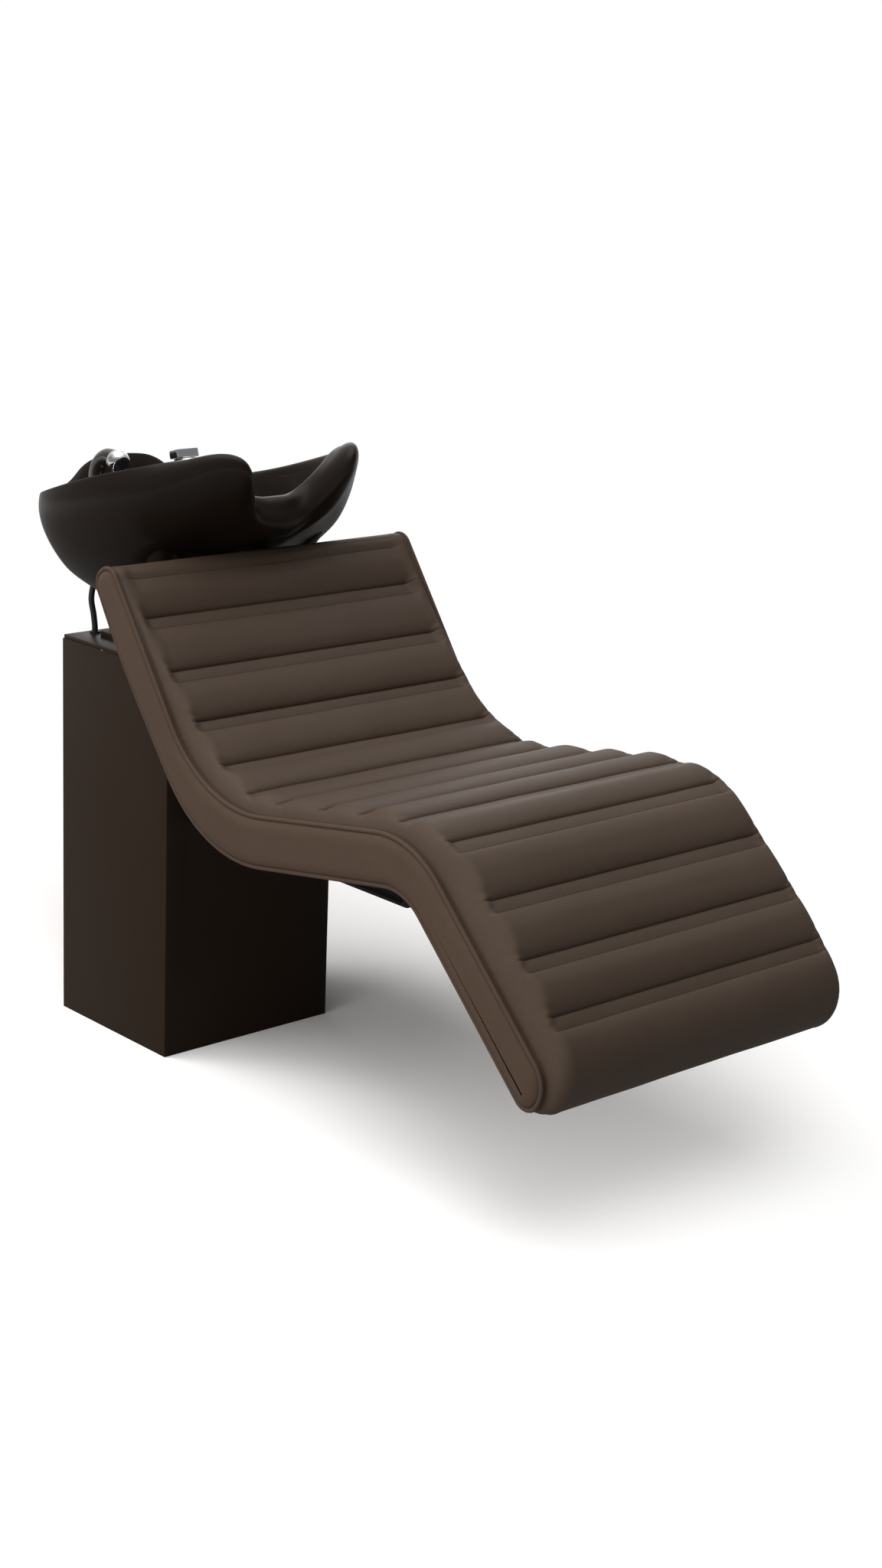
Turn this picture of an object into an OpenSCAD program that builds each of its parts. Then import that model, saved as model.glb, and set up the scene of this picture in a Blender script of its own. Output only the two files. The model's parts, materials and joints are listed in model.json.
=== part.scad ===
// Backwash unit: a channelled lounger on a cantilever arm, a steel column with the plumbing
// and ballast inside, and a tilting ceramic basin with mixer and hand shower on top.
// Millimetres. X is the width, -Y the foot end, +Z up; the origin is the middle of the
// column's footprint on the floor.

/* [Lounger outline] */
// Width of the lounger over its piping
seat_w = 600; // [520:5:680]
// Crease between back and seat, distance in front of the column's centre
crease_y = 410; // [395:1:440]
// Depth of that crease, where the front lines of back and seat would meet, below the column's top
crease_drop = 148; // [130:1:165]
// Slope of the back, degrees from level
back_angle = 54; // [52:0.5:56]
// Rise of the seat towards the knee, degrees
seat_angle = 9.4; // [7:0.2:11]
// Fall of the leg rest, degrees
leg_angle = 44; // [40:0.5:48]
// Length of the back from the crease to its top end
back_len = 413; // [400:1:420]
// Length of the seat from the crease to the knee
seat_len = 474; // [430:1:520]
// Length of the leg rest from the knee to the foot end
leg_len = 403; // [360:1:440]
// Thickness of the back at its top end
back_t = 52; // [50:1:56]
// Thickness of the lounger under the sitter
seat_t = 77; // [72:1:84]
// Thickness of the leg rest
leg_t = 69; // [66:1:76]

/* [Upholstery] */
// Foam and cover over the plywood
pad_t = 23; // [18:1:24]
// Swell of the pad over the piping on the back
back_crown = 26; // [20:1:30]
// Swell of the pad over the piping on the seat
seat_crown = 32; // [26:1:36]
// Swell of the pad over the piping on the leg rest
leg_crown = 49; // [40:1:54]
// Number of sewn channels across the pad
channels = 13; // [10:1:13]
// Pitch of the channels
channel_pitch = 88.5; // [80:0.5:90]
// First channel, distance below the top end
channel_first = 72; // [60:1:90]
// Depth of a channel
channel_depth = 9; // [5:1:12]
// Width of the flat strip sewn into each channel
strip_w = 21; // [12:1:24]
// Thickness of the side border at the piping
border_t = 8.5; // [8:0.5:12]
// Diameter of the piping
piping_d = 7; // [5:0.5:8]
// Bent plywood under the pad
shell_t = 9; // [6:1:12]
// Covered panel that closes the underside
back_panel_t = 6; // [4:1:8]
// Plywood formers inside the lounger
former_t = 18; // [12:1:24]

/* [Column] */
// Width of the column
col_w = 343; // [320:1:380]
// Depth of the column
col_d = 296; // [280:1:310]
// Height of the column with its top plate
col_h = 658; // [640:1:675]
// Sheet of the column
col_t = 2.5; // [2:0.5:4]
// Top plate of the column
top_t = 6; // [4:1:8]
// Step between the top plate and the column's faces
top_inset = 2; // [1:0.5:4]
// Base plate
base_t = 15; // [12:1:20]
// Anchor holes in from the column's left and right faces
anchor_side = 46.5; // [40:0.5:55]
// Anchor holes in from the column's front and rear faces
anchor_end = 38; // [38:0.5:50]
// Diameter of the anchor holes
anchor_d = 11; // [9:1:13]
// Height of each stack of ballast slabs
ballast_h = 216; // [160:4:240]
// Number of slabs in each stack
ballast_count = 4; // [2:1:6]

/* [Support arm] */
// Width of the arm
arm_w = 240; // [180:5:260]
// Depth of the arm's box section
arm_h = 50; // [40:1:56]
// Underside of the arm below the crease
arm_drop = 116; // [114:1:125]
// Front end of the arm, distance in front of the column's centre
arm_reach = 690; // [600:5:720]
// Wall of the arm and of the post
steel_t = 5; // [4:0.5:6]
// Side of the square post inside the column
post_w = 110; // [90:5:120]

/* [Basin] */
// Tilt of the basin's rim at rest, front end up
basin_tilt = 17; // [16:0.5:18]
// Height of the rim plane above the column, over the column's centre
rim_rise = 282; // [280:1:290]
// Half width of the rim
rim_half = 239; // [225:1:250]
// Depth of the neck notch
notch_drop = 73; // [60:1:80]
// Height of the raised back edge
hump_rise = 64; // [50:1:70]
// Depth of the basin from rim to foot
basin_depth = 212; // [205:1:214]
// Radius of the basin's foot
foot_r = 95; // [85:1:100]
// Level of the rear deck below the rim
deck_drop = 9; // [6:1:14]
// Diameter of the drain hole
drain_d = 46; // [40:1:52]

/* [Taps] */
// Diameter of the mixer body
mixer_d = 40; // [36:1:44]
// Place of the mixer to the right of the middle
mixer_x = 98; // [92:1:104]
// Place of the hand shower to the left of the middle
shower_x = 86; // [80:1:94]
// Diameter of the shower's handle
handle_d = 27; // [24:1:28]
// Diameter of the spray head
head_d = 38; // [34:1:42]

/* [Tilt joint] */
// Height of the pivot above the column's top
pivot_rise = 37; // [36:1:40]
// Diameter of the pivot shaft
shaft_d = 16; // [12:1:18]
// Distance between the two ears
ear_gap = 124; // [110:2:140]
// Thickness of an ear
ear_t = 10; // [8:1:12]

/* [Hidden] */

leather = [0.30, 0.26, 0.23];
bronze = [0.29, 0.26, 0.24];
black = [0.08, 0.07, 0.065];
ceramic = [0.11, 0.09, 0.08];
chrome = [0.80, 0.80, 0.82];
steel = [0.55, 0.55, 0.57];
ply = [0.72, 0.58, 0.40];
iron = [0.25, 0.25, 0.26];
rubber = [0.05, 0.05, 0.05];

gap = 0.3;
arc_step = 7;
$fn = 64;

// Lounger outline, as [y, z] corners with a radius each, from the top end down the front
function unit(v) = v / norm(v);
function aim(a) = [cos(a), sin(a)];
function spin2(v, a) = [v[0] * cos(a) - v[1] * sin(a), v[0] * sin(a) + v[1] * cos(a)];
function meet(a, u, b, v) = a + u * cross(b - a, v) / cross(u, v);

crease = [-crease_y, col_h - crease_drop];
back_dir = aim(back_angle);
seat_dir = aim(180 - seat_angle);
leg_dir = aim(180 + leg_angle);
back_in = [back_dir[1], -back_dir[0]];
seat_in = [-seat_dir[1], seat_dir[0]];
leg_in = [-leg_dir[1], leg_dir[0]];
top_front = crease + back_dir * back_len;
top_rear = top_front + back_in * back_t;
knee = crease + seat_dir * seat_len;
foot_front = knee + leg_dir * leg_len;
bow_rear = crease + back_dir * 280 + back_in * (back_t + 10);
foot_rear = foot_front + leg_in * leg_t * 0.95;
knee_rear = meet(foot_rear, leg_dir, crease + seat_in * seat_t, seat_dir);
crease_rear = meet(bow_rear, aim(back_angle - 2.5), crease + seat_in * seat_t, seat_dir);

end_r = back_t / 2 - 1;
corners = [top_rear, top_front, crease, knee, foot_front, foot_rear, knee_rear, crease_rear,
    bow_rear];
radii = [end_r - 1, end_r, 224, 158, 44, 24, 87, 239, 1300];

function corner_arc(i) =
    let (n = len(corners), b = corners[i], r = radii[i],
         u = unit(corners[(i + n - 1) % n] - b), v = unit(corners[(i + 1) % n] - b),
         half = acos(u * v) / 2, hub = b + unit(u + v) * r / sin(half),
         turn = sign(cross(-u, v)), sweep = 180 - 2 * half,
         steps = max(3, ceil(sweep / (r > 70 ? arc_step : 2 * arc_step))),
         first = b + u * r / tan(half) - hub)
    [for (j = [0 : steps]) let (ray = spin2(first, turn * sweep * j / steps))
        [hub + ray, turn * ray / r]];

function joined(lists) = [for (l = lists) each l];
arcs = [for (i = [0 : len(corners) - 1]) corner_arc(i)];
whole = joined(arcs);
function inset(edge, d) = [for (e = edge) e[0] - e[1] * d];

front_edge = joined([for (i = [0 : 5]) arcs[i]]);
function last(list) = list[len(list) - 1];
function nudge(e, v) = [e[0] + v, e[1]];
skin_front = joined([[nudge(last(arcs[1]), -back_dir * 3)], arcs[2], arcs[3],
    [nudge(arcs[4][0], -leg_dir * 3)]]);
skin_rear = joined([[nudge(last(arcs[5]), -leg_dir * 2)], arcs[6], arcs[7], arcs[8],
    [nudge(arcs[0][0], -back_dir * 2)]]);

// Distance along the pad's edge, and the edge at a distance
function lengths(e, i = 0, sum = 0) = i >= len(e) ? [] :
    let (s = sum + (i == 0 ? 0 : norm(e[i][0] - e[i - 1][0]))) concat([s], lengths(e, i + 1, s));
run = lengths(front_edge);
run_end = run[len(run) - 1];
front_start = run[len(arcs[0]) + len(arcs[1]) - 1];
function place(s, i = 0) = i >= len(run) - 2 || run[i + 1] >= s ? i : place(s, i + 1);
function edge_at(s) =
    let (i = place(s), t = (s - run[i]) / max(run[i + 1] - run[i], 0.001), a = front_edge[i],
         b = front_edge[i + 1])
    [a[0] + (b[0] - a[0]) * t, unit(a[1] + (b[1] - a[1]) * t)];

// Channels: depth of the pad's surface below its crown, as a share, along one pitch
channel_marks = [[-24, 0.08], [-9, 0.4], [0, 1], [strip_w, 0.8], [strip_w + 26, 0.1]];
function groove_at(i) = front_start + channel_first + i * channel_pitch;
stations = joined([
    [for (s = run) if (s < front_start + channel_first - 40) [s, 0]],
    [for (i = [0 : channels - 1]) each [for (m = channel_marks) [groove_at(i) + m[0], m[1]]]],
    [for (s = run) if (s > groove_at(channels - 1) + strip_w + 50) [s, 0]]]);
crown_marks = [[0, 0], [front_start, 2], [front_start + 110, back_crown * 0.45],
    [front_start + 200, back_crown], [front_start + 280, seat_crown * 1.16],
    [front_start + 360, seat_crown * 1.2], [front_start + 600, seat_crown * 0.97],
    [front_start + 780, seat_crown], [run_end - 390, leg_crown * 1.08], [run_end - 210, leg_crown * 1.16],
    [run_end - 120, leg_crown * 1.02], [run_end - 65, leg_crown * 0.56], [run_end - 30, leg_crown * 0.28],
    [run_end, 0]];
pad_half = seat_w / 2 - border_t - gap;
columns = [-1, -0.985, -0.94, -0.86, -0.72, 0, 0.72, 0.86, 0.94, 0.985, 1];
edge_share = 0.35;
function swell(f) = edge_share + (1 - edge_share) * sqrt(1 - pow(f, 6));
fade_share = 0.1; // of the half width, where the channels die out
function fade(f) = min(1, max(0, (1 - abs(f)) / fade_share));
function pad_point(st, f) =
    let (e = edge_at(st[0]), up = lookup(st[0], crown_marks) * swell(f)
             - st[1] * channel_depth * fade(f) * min(1, lookup(st[0], crown_marks) / 4))
    [f * pad_half, each (e[0] + e[1] * up)];

module seat_pad() {
    color(leather)
    let (n = len(stations), m = len(columns),
         top = [for (st = stations) each [for (f = columns) pad_point(st, f)]],
         low = [for (st = stations) each [for (f = [-1, 1]) let (e = edge_at(st[0]))
             [f * pad_half, each (e[0] - e[1] * pad_t)]]],
         k = n * m)
    polyhedron(concat(top, low), [
        for (i = [0 : n - 2]) for (j = [0 : m - 2]) let (a = i * m + j) each
            [[a, a + 1, a + m + 1], [a, a + m + 1, a + m]],
        for (i = [0 : n - 2]) let (a = k + 2 * i) each [[a, a + 3, a + 1], [a, a + 2, a + 3]],
        for (i = [0 : n - 2]) let (a = i * m, b = k + 2 * i) each
            [[a, a + m, b + 2], [a, b + 2, b]],
        for (i = [0 : n - 2]) let (a = i * m + m - 1, b = k + 2 * i + 1) each
            [[a, b + 2, a + m], [a, b, b + 2]],
        for (j = [0 : m - 2]) [k, j + 1, j],
        [k, k + 1, m - 1],
        for (j = [0 : m - 2]) let (a = (n - 1) * m) [k + 2 * n - 2, a + j, a + j + 1],
        [k + 2 * n - 2, (n - 1) * m + m - 1, k + 2 * n - 1]]);
}

// A plate across the lounger, drawn as [y, z] points and centred on x
module across(points, x, w) translate([x - w / 2, 0, 0]) rotate([90, 0, 90])
    linear_extrude(w) polygon(points);

inner_w = 2 * pad_half;
shell_out = pad_t + 1.2;
shell_in = shell_out + shell_t;
former_out = shell_in + gap;
former_rear = back_panel_t + 1;

module seat_shell() color(ply) across(concat(inset(skin_front, shell_out),
    [for (i = [len(skin_front) - 1 : -1 : 0]) skin_front[i][0] - skin_front[i][1] * shell_in]),
    0, inner_w);

module back_panel() color(leather) difference() {
    across(concat(inset(skin_rear, 0),
        [for (i = [len(skin_rear) - 1 : -1 : 0]) skin_rear[i][0] - skin_rear[i][1] * back_panel_t]),
        0, inner_w);
    bolts(bolt_d + 1, 0, -1, bolt_len);
}

module former(x) color(ply) across(concat(inset(skin_front, former_out),
    inset(skin_rear, former_rear)), x, former_t);

former_x = inner_w / 2 - former_t / 2 - 20;
module former_left() former(-former_x);
module former_right() former(former_x);

// Side borders: a padded panel that swells between the two runs of piping
border_marks = [[-border_t, 5], [-2, 5.5], [1, 12], [2, 22]];
whole_n = len(whole);
front_ids = [for (i = [len(arcs[0]) : len(front_edge) - len(arcs[5]) - 1]) i];
rear_ids = concat([for (i = [len(arcs[0]) - 1 : -1 : 0]) i],
    [for (i = [whole_n - 1 : -1 : len(front_edge) - len(arcs[5])]) i]);

// Triangles across the ribbon between the two edges, always by the shorter diagonal
function span(i, j) = norm(whole[front_ids[i]][0] - whole[rear_ids[j]][0]);
function ribbon(i = 0, j = 0) = let (f = len(front_ids) - 1, r = len(rear_ids) - 1)
    i == f && j == r ? [] :
    j == r || (i < f && span(i + 1, j) < span(i, j + 1)) ?
        concat([[front_ids[i], front_ids[i + 1], rear_ids[j]]], ribbon(i + 1, j)) :
        concat([[front_ids[i], rear_ids[j + 1], rear_ids[j]]], ribbon(i, j + 1));
function turned(faces) = [for (f = faces) [f[2], f[1], f[0]]];
function lifted(faces, k) = [for (f = faces) [f[0] + k, f[1] + k, f[2] + k]];

module border(side) color(leather)
    let (m = whole_n, n = len(border_marks), lid = ribbon(),
         rings = [for (b = border_marks) each [for (e = whole)
             [side * (seat_w / 2 + b[0]), each (e[0] - e[1] * b[1])]]],
         walls = [for (r = [0 : n - 2]) for (i = [0 : m - 1])
             let (j = (i + 1) % m, a = r * m) each
             [[a + i, a + j, a + m + j], [a + i, a + m + j, a + m + i]]],
         faces = concat(walls, turned(lid), lifted(lid, (n - 1) * m)))
    polyhedron(rings, side < 0 ? faces : turned(faces));
module border_left() border(-1);
module border_right() border(1);

// Piping: a round cord all the way round each border
piping_sides = 8;
module piping(side) color(leather)
    let (m = len(whole), k = piping_sides, x = side * (seat_w / 2 - border_t / 2 - 0.75),
         rings = [for (e = whole) each [for (i = [0 : k - 1]) let (a = i * 360 / k)
             [x + piping_d / 2 * cos(a), each (e[0] + e[1] * (piping_d / 2 * sin(a) - 1))]]])
    polyhedron(rings, [for (r = [0 : m - 1]) for (i = [0 : k - 1])
        let (j = (i + 1) % k, a = r * k, b = ((r + 1) % m) * k) each
        [[a + i, b + j, a + j], [a + i, b + i, b + j]]]);
module piping_left() piping(-1);
module piping_right() piping(1);

// Column
door_w = col_w - 60;
door_z = 30;
door_h = col_h - top_t - 2 * door_z;
door_gap = 1.5;
body_h = col_h - top_t;
in_x = col_w / 2 - col_t;
in_y = col_d / 2 - col_t;

module box(x0, x1, y0, y1, z0, z1) translate([x0, y0, z0]) cube([x1 - x0, y1 - y0, z1 - z0]);

module column_shell() color(bronze) difference() {
    box(-col_w / 2, col_w / 2, -col_d / 2, col_d / 2, 0, body_h);
    box(-in_x, in_x, -in_y, in_y, -1, body_h + 1);
    box(-door_w / 2, door_w / 2, 0, col_d, door_z, door_z + door_h);
    box(-arm_w / 2 - 1, arm_w / 2 + 1, -col_d, 0, arm_z - 1, arm_z + arm_h + 1);
}

// Openings in the top plate for the waste hose, the water hoses and the shower hose
well_x = 32;
well_front = -40;
well_rear = 50;
hose_d = 11;
hose_row_y = col_d / 2 - 17;
shower_hole = [-118, hose_row_y];
hose_row = [90, 106, 122];
collar_d = 15;
collar_h = 3;

module column_top() color(bronze) difference() {
    box(-col_w / 2 + top_inset, col_w / 2 - top_inset, -col_d / 2 + top_inset,
        col_d / 2 - top_inset, body_h, col_h);
    box(-well_x, well_x, well_front, well_rear, body_h - 1, col_h + 1);
    translate([shower_hole[0], shower_hole[1], body_h - 1]) cylinder(d = collar_d, h = top_t + 2);
    for (x = hose_row) translate([x, hose_row_y, body_h - 1]) cylinder(d = collar_d, h = top_t + 2);
}

module grommet(x, y) translate([x, y, body_h - 2]) difference() {
    union() {
        cylinder(d = collar_d - 0.2, h = top_t + 3);
        translate([0, 0, top_t + 2]) cylinder(d = hose_d + 7, h = collar_h);
    }
    translate([0, 0, -1]) cylinder(d = hose_d + 0.8, h = top_t + 8);
}
module grommet_left() color(rubber) grommet(shower_hole[0], shower_hole[1]);
module grommets_right() color(rubber) for (x = hose_row) grommet(x, hose_row_y);

anchor_x = col_w - 2 * anchor_side;
anchor_y = col_d - 2 * anchor_end;
module base_plate() color(steel) difference() {
    box(-in_x, in_x, -in_y, in_y, 0, base_t);
    for (x = [-1, 1]) for (y = [-1, 1])
        translate([x * anchor_x / 2, y * anchor_y / 2, -1]) cylinder(d = anchor_d, h = base_t + 2);
    translate([0, waste_y, -1]) cylinder(d = waste_d + 6, h = base_t + 2);
    for (x = [-1, 1]) translate([x * pipe_x, pipe_y, -1]) cylinder(d = pipe_d + 3, h = base_t + 2);
}

post_front = -in_y + 12;
post_rear = post_front + post_w;
module post() color(steel) difference() {
    box(-post_w / 2, post_w / 2, post_front, post_rear, base_t, body_h);
    box(-post_w / 2 + steel_t, post_w / 2 - steel_t, post_front + steel_t, post_rear - steel_t,
        base_t - 1, body_h + 1);
}

// Ballast: slabs stacked on the base plate, parted by shallow grooves, held by a long bolt
slab_h = ballast_h / ballast_count;
slab_in = post_w / 2 + 6;
slab_out = in_x - 4;
slab_rear = in_y - 16;
module ballast(side) color(iron) difference() {
    translate([side * (slab_in + slab_out) / 2, (slab_rear - in_y + 4) / 2, base_t])
        difference() {
            translate([0, 0, ballast_h / 2])
                cube([slab_out - slab_in, slab_rear + in_y - 4, ballast_h], center = true);
            for (i = [1 : ballast_count - 1]) translate([0, 0, i * slab_h]) difference() {
                cube([slab_out - slab_in + 2, slab_rear + in_y - 2, 2], center = true);
                cube([slab_out - slab_in - 6, slab_rear + in_y - 10, 4], center = true);
            }
        }
    for (y = [-1, 1]) translate([side * anchor_x / 2, y * anchor_y / 2, 0])
        cylinder(d = 34, h = base_t + ballast_h + 1);
}
module ballast_left() ballast(-1);
module ballast_right() ballast(1);

// Support arm: a box section from the post to its rounded front end, with wrench holes under the
// carrier's bolts
arm_z = crease[1] - arm_drop;
module support_arm() color(black) difference() {
    translate([-arm_w / 2, 0, 0]) rotate([90, 0, 90]) linear_extrude(arm_w) difference() {
        union() {
            translate([-arm_reach + 18, arm_z]) square([arm_reach - 18 + post_front, arm_h]);
            translate([-arm_reach, arm_z + 18]) square([30, arm_h - 18]);
            translate([-arm_reach + 18, arm_z + 18]) circle(r = 18);
        }
        translate([-arm_reach + 24, arm_z + steel_t])
            square([arm_reach + post_front, arm_h - 2 * steel_t]);
    }
    for (p = carrier_spots) translate([p[0], p[1], arm_z - 1]) cylinder(d = 20, h = arm_h + 2);
}

// Carrier: a wedge that meets the slope of the seat's underside, bolted up into the board. It starts
// where that underside runs straight and ends at the arm's front
slope = [cos(seat_angle), sin(seat_angle)];
under = crease + seat_in * seat_t;
function on_slope(d, n) = under + [-d * slope[0], d * slope[1]] - seat_in * n;
carrier_from = 135;
carrier_to = (arm_reach + under[0]) / slope[0] - 14;
bolt_in = 0.18 * (carrier_to - carrier_from);
carrier_w = 200;
carrier_t = 6;
bolt_d = 8;
bolt_len = 34;
bolt_rows = [carrier_from + bolt_in, carrier_to - bolt_in];
bolt_x = 62;
carrier_spots = [for (x = [-1, 1]) for (d = bolt_rows) [x * bolt_x, on_slope(d, 0)[0]]];

module carrier_cheek(x) translate([x, 0, 0]) rotate([90, 0, 90]) linear_extrude(8) polygon([
    on_slope(carrier_from, -carrier_t), on_slope(carrier_to, -carrier_t),
    [on_slope(carrier_to, -carrier_t)[0], arm_z + arm_h],
    [on_slope(carrier_from, -carrier_t)[0], arm_z + arm_h]]);
module seat_carrier() color(black) difference() {
    union() {
        translate([-carrier_w / 2, 0, 0]) rotate([90, 0, 90]) linear_extrude(carrier_w) polygon([
            on_slope(carrier_from, -gap), on_slope(carrier_to, -gap),
            on_slope(carrier_to, -carrier_t), on_slope(carrier_from, -carrier_t)]);
        carrier_cheek(-carrier_w / 2);
        carrier_cheek(carrier_w / 2 - 8);
    }
    bolts(bolt_d + 0.4, 0, -20, 20);
}
module bolts(d, head, from, to) for (x = [-1, 1]) for (row = bolt_rows)
    translate([x * bolt_x, on_slope(row, from)[0], on_slope(row, from)[1]])
        rotate([-seat_angle, 0, 0]) {
            cylinder(d = d, h = to - from);
            if (head > 0) translate([0, 0, -5]) cylinder(d = head, h = 5);
        }
module carrier_bolts() color(steel) bolts(bolt_d, 13, -carrier_t, bolt_len - carrier_t);
board_t = 24;
module mount_board() color(ply) difference() {
    translate([-former_x + former_t / 2 + gap, 0, 0]) rotate([90, 0, 90])
        linear_extrude(2 * former_x - former_t - 2 * gap) polygon([
            on_slope(carrier_from - 15, former_rear), on_slope(carrier_to + 15, former_rear),
            on_slope(carrier_to + 15, former_rear + board_t),
            on_slope(carrier_from - 15, former_rear + board_t)]);
    bolts(bolt_d, 0, -1, bolt_len - carrier_t + 1);
}

// Service door on the rear, on two hinges, held shut by a magnet
hinge_x = -door_w / 2 - 2;
hinge_y = col_d / 2 + 5.5;
knuckle_d = 10;
knuckle_h = 18;
pin_d = 5;
hinge_zs = [door_z + 70, door_z + door_h - 70];
module knuckle(z, h) translate([hinge_x, hinge_y, z]) cylinder(d = knuckle_d, h = h);
module leaf(x0, x1, z, h) box(x0, x1, col_d / 2, col_d / 2 + 2, z, z + h);
module hinge_leaves() color(steel) for (z = hinge_zs) difference() {
    union() {
        leaf(hinge_x - 22, hinge_x - 6, z - 1.5 * knuckle_h, 3 * knuckle_h);
        for (k = [-1.5, 0.5]) {
            knuckle(z + k * knuckle_h, knuckle_h);
            box(hinge_x - 8, hinge_x, col_d / 2, hinge_y - 2, z + k * knuckle_h,
                z + (k + 1) * knuckle_h);
        }
    }
    translate([hinge_x, hinge_y, z - 2 * knuckle_h]) cylinder(d = pin_d, h = 4 * knuckle_h);
}
module hinge_pins() color(steel) for (z = hinge_zs)
    translate([hinge_x, hinge_y, z - 1.5 * knuckle_h - 2]) cylinder(d = pin_d, h = 3 * knuckle_h + 4);
module rear_door() color(bronze) difference() {
    union() {
        box(-door_w / 2 + door_gap, door_w / 2 - door_gap, col_d / 2 - col_t, col_d / 2,
            door_z + door_gap, door_z + door_h - door_gap);
        for (z = hinge_zs) {
            leaf(hinge_x + 4, hinge_x + 24, z - knuckle_h / 2 + gap, knuckle_h - 2 * gap);
            knuckle(z - knuckle_h / 2 + gap, knuckle_h - 2 * gap);
            box(hinge_x, hinge_x + 6, col_d / 2 + 0.4, hinge_y - 2, z - knuckle_h / 2 + gap,
                z + knuckle_h / 2 - gap);
        }
    }
    for (z = hinge_zs) translate([hinge_x, hinge_y, z - knuckle_h])
        cylinder(d = pin_d + 0.1, h = 2 * knuckle_h);
}
module door_pull() color(chrome) translate([door_w / 2 - 26, col_d / 2, door_z + door_h / 2])
    rotate([-90, 0, 0]) {
        cylinder(d = 9, h = 14);
        translate([0, 0, 10]) cylinder(d = 18, h = 7);
    }
module door_magnets() color(black) for (z = hinge_zs) {
    box(door_w / 2 + 2, door_w / 2 + 20, in_y - 10, in_y, z - 20, z + 20);
    box(door_w / 2 - 14, door_w / 2 + 8, in_y - 10.3, in_y - gap, z - 20, z + 20);
}

// Plumbing inside the column
waste_y = 98;
waste_d = 40;
trap_y = 45;
trap_z = col_h - 218;
trap_h = 105;
pipe_x = 42;
pipe_y = 92;
pipe_d = 15;
valve_z = col_h - 323;
module trap() color(black) {
    translate([0, trap_y, trap_z]) cylinder(d = 64, h = trap_h);
    translate([0, trap_y, trap_z + trap_h]) cylinder(d = waste_d, h = 24);
    translate([0, trap_y, trap_z + 70]) rotate([-90, 0, 0])
        cylinder(d = waste_d, h = waste_y - trap_y);
    translate([0, waste_y, trap_z + 70]) sphere(d = waste_d);
}
module waste_pipe() color([0.75, 0.75, 0.74]) difference() {
    translate([0, waste_y, 0]) cylinder(d = waste_d - 1, h = trap_z + 70 - waste_d / 2 - gap);
    translate([0, waste_y, -1]) cylinder(d = waste_d - 6, h = trap_z - 20);
}
module valve(side) translate([side * pipe_x, pipe_y, 0]) difference() {
    union() {
        cylinder(d = pipe_d, h = valve_z);
        translate([0, 0, valve_z - 15]) cylinder(d = 24, h = 30);
        translate([0, 0, valve_z + 15]) cylinder(d = 12, h = 12);
        translate([0, 0, valve_z]) rotate([-90, 0, 0]) cylinder(d = 17, h = 22);
    }
    translate([0, 4, valve_z]) rotate([-90, 0, 0]) cylinder(d = 6.1, h = 22);
}
module valve_hot() color([0.72, 0.6, 0.35]) valve(-1);
module valve_cold() color([0.72, 0.6, 0.35]) valve(1);
module tap_handle(side) translate([side * pipe_x, pipe_y, valve_z]) rotate([-90, 0, 0]) {
    translate([0, 0, 5]) cylinder(d = 6, h = 20);
    difference() {
        translate([0, 0, 22.4]) cylinder(d = 28, h = 13);
        for (a = [0 : 60 : 300]) rotate([0, 0, a]) translate([17.5, 0, 20]) cylinder(d = 11, h = 20);
    }
}
module handle_hot() color([0.6, 0.12, 0.1]) tap_handle(-1);
module handle_cold() color([0.12, 0.25, 0.6]) tap_handle(1);

// Basin frame: x across, v back along the rim plane, w square to it
tilt_c = cos(basin_tilt);
tilt_s = sin(basin_tilt);
rim_z = col_h + rim_rise;
module basin_frame() translate([0, 0, rim_z]) rotate([-basin_tilt, 0, 0]) children();
function to_world(p) = [p[0], tilt_c * p[1] + tilt_s * p[2], rim_z - tilt_s * p[1] + tilt_c * p[2]];
function to_basin(y, z) = [tilt_c * y + tilt_s * (rim_z - z), tilt_s * y - tilt_c * (rim_z - z)];

// Rim: inner edge from the notch round to the middle of the back, [x, v, w]
rim_keys = [[0, -168, -1], [30, -169, -0.985], [56, -175, -0.83], [80, -182, -0.6],
    [104, -184, -0.36], [128, -178, -0.14], [154, -168, -0.03], [184, -147, 0], [214, -108, 0],
    [232, -50, 2], [239, 25, 2], [232, 100, 2], [208, 160, 4], [174, 202, 8], [136, 217, 13.5],
    [106, 220, 26], [82, 220, 46], [56, 219, 58.5], [26, 219, 62.5], [0, 219, 63.5]];
function rim_key(k) = [k[0] * rim_half / 239, k[1], k[2] < 0 ? k[2] * (notch_drop - 3) :
    k[2] * (k[2] > 15 ? hump_rise / 64 : 1)];
half_rim = [for (k = rim_keys) rim_key(k)];
last_key = len(half_rim) - 1;
rim_loop = concat(half_rim, [for (i = [last_key - 1 : -1 : 1]) [-half_rim[i][0], half_rim[i][1],
    half_rim[i][2]]]);
function smooth(a, b, c, d, t) = (b * 2 + (c - a) * t + (a * 2 - b * 5 + c * 4 - d) * t * t
    + (b * 3 - a - c * 3 + d) * t * t * t) / 2;
keys_n = len(rim_loop);
rim = [for (i = [0 : keys_n - 1]) for (t = [0, 0.5]) smooth(rim_loop[(i + keys_n - 1) % keys_n],
    rim_loop[i], rim_loop[(i + 1) % keys_n], rim_loop[(i + 2) % keys_n], t)];

// Weights round the rim: the notch, the two lobes beside it, and the rest
function bearing(p) = abs(atan2(p[0], -(p[1] - 10)));
function away(p) = let (a = atan2(p[0], -(p[1] - 10))) [sin(a), -cos(a)];
function notch_part(a) = exp(-pow(a / 16, 2));
function lobe_part(a) = exp(-pow((a - 28) / (a < 28 ? 10 : 15), 2)) * (1 - notch_part(a));
function ease(a, b, x) = let (t = min(1, max(0, (x - a) / (b - a)))) t * t * (3 - 2 * t);

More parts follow.
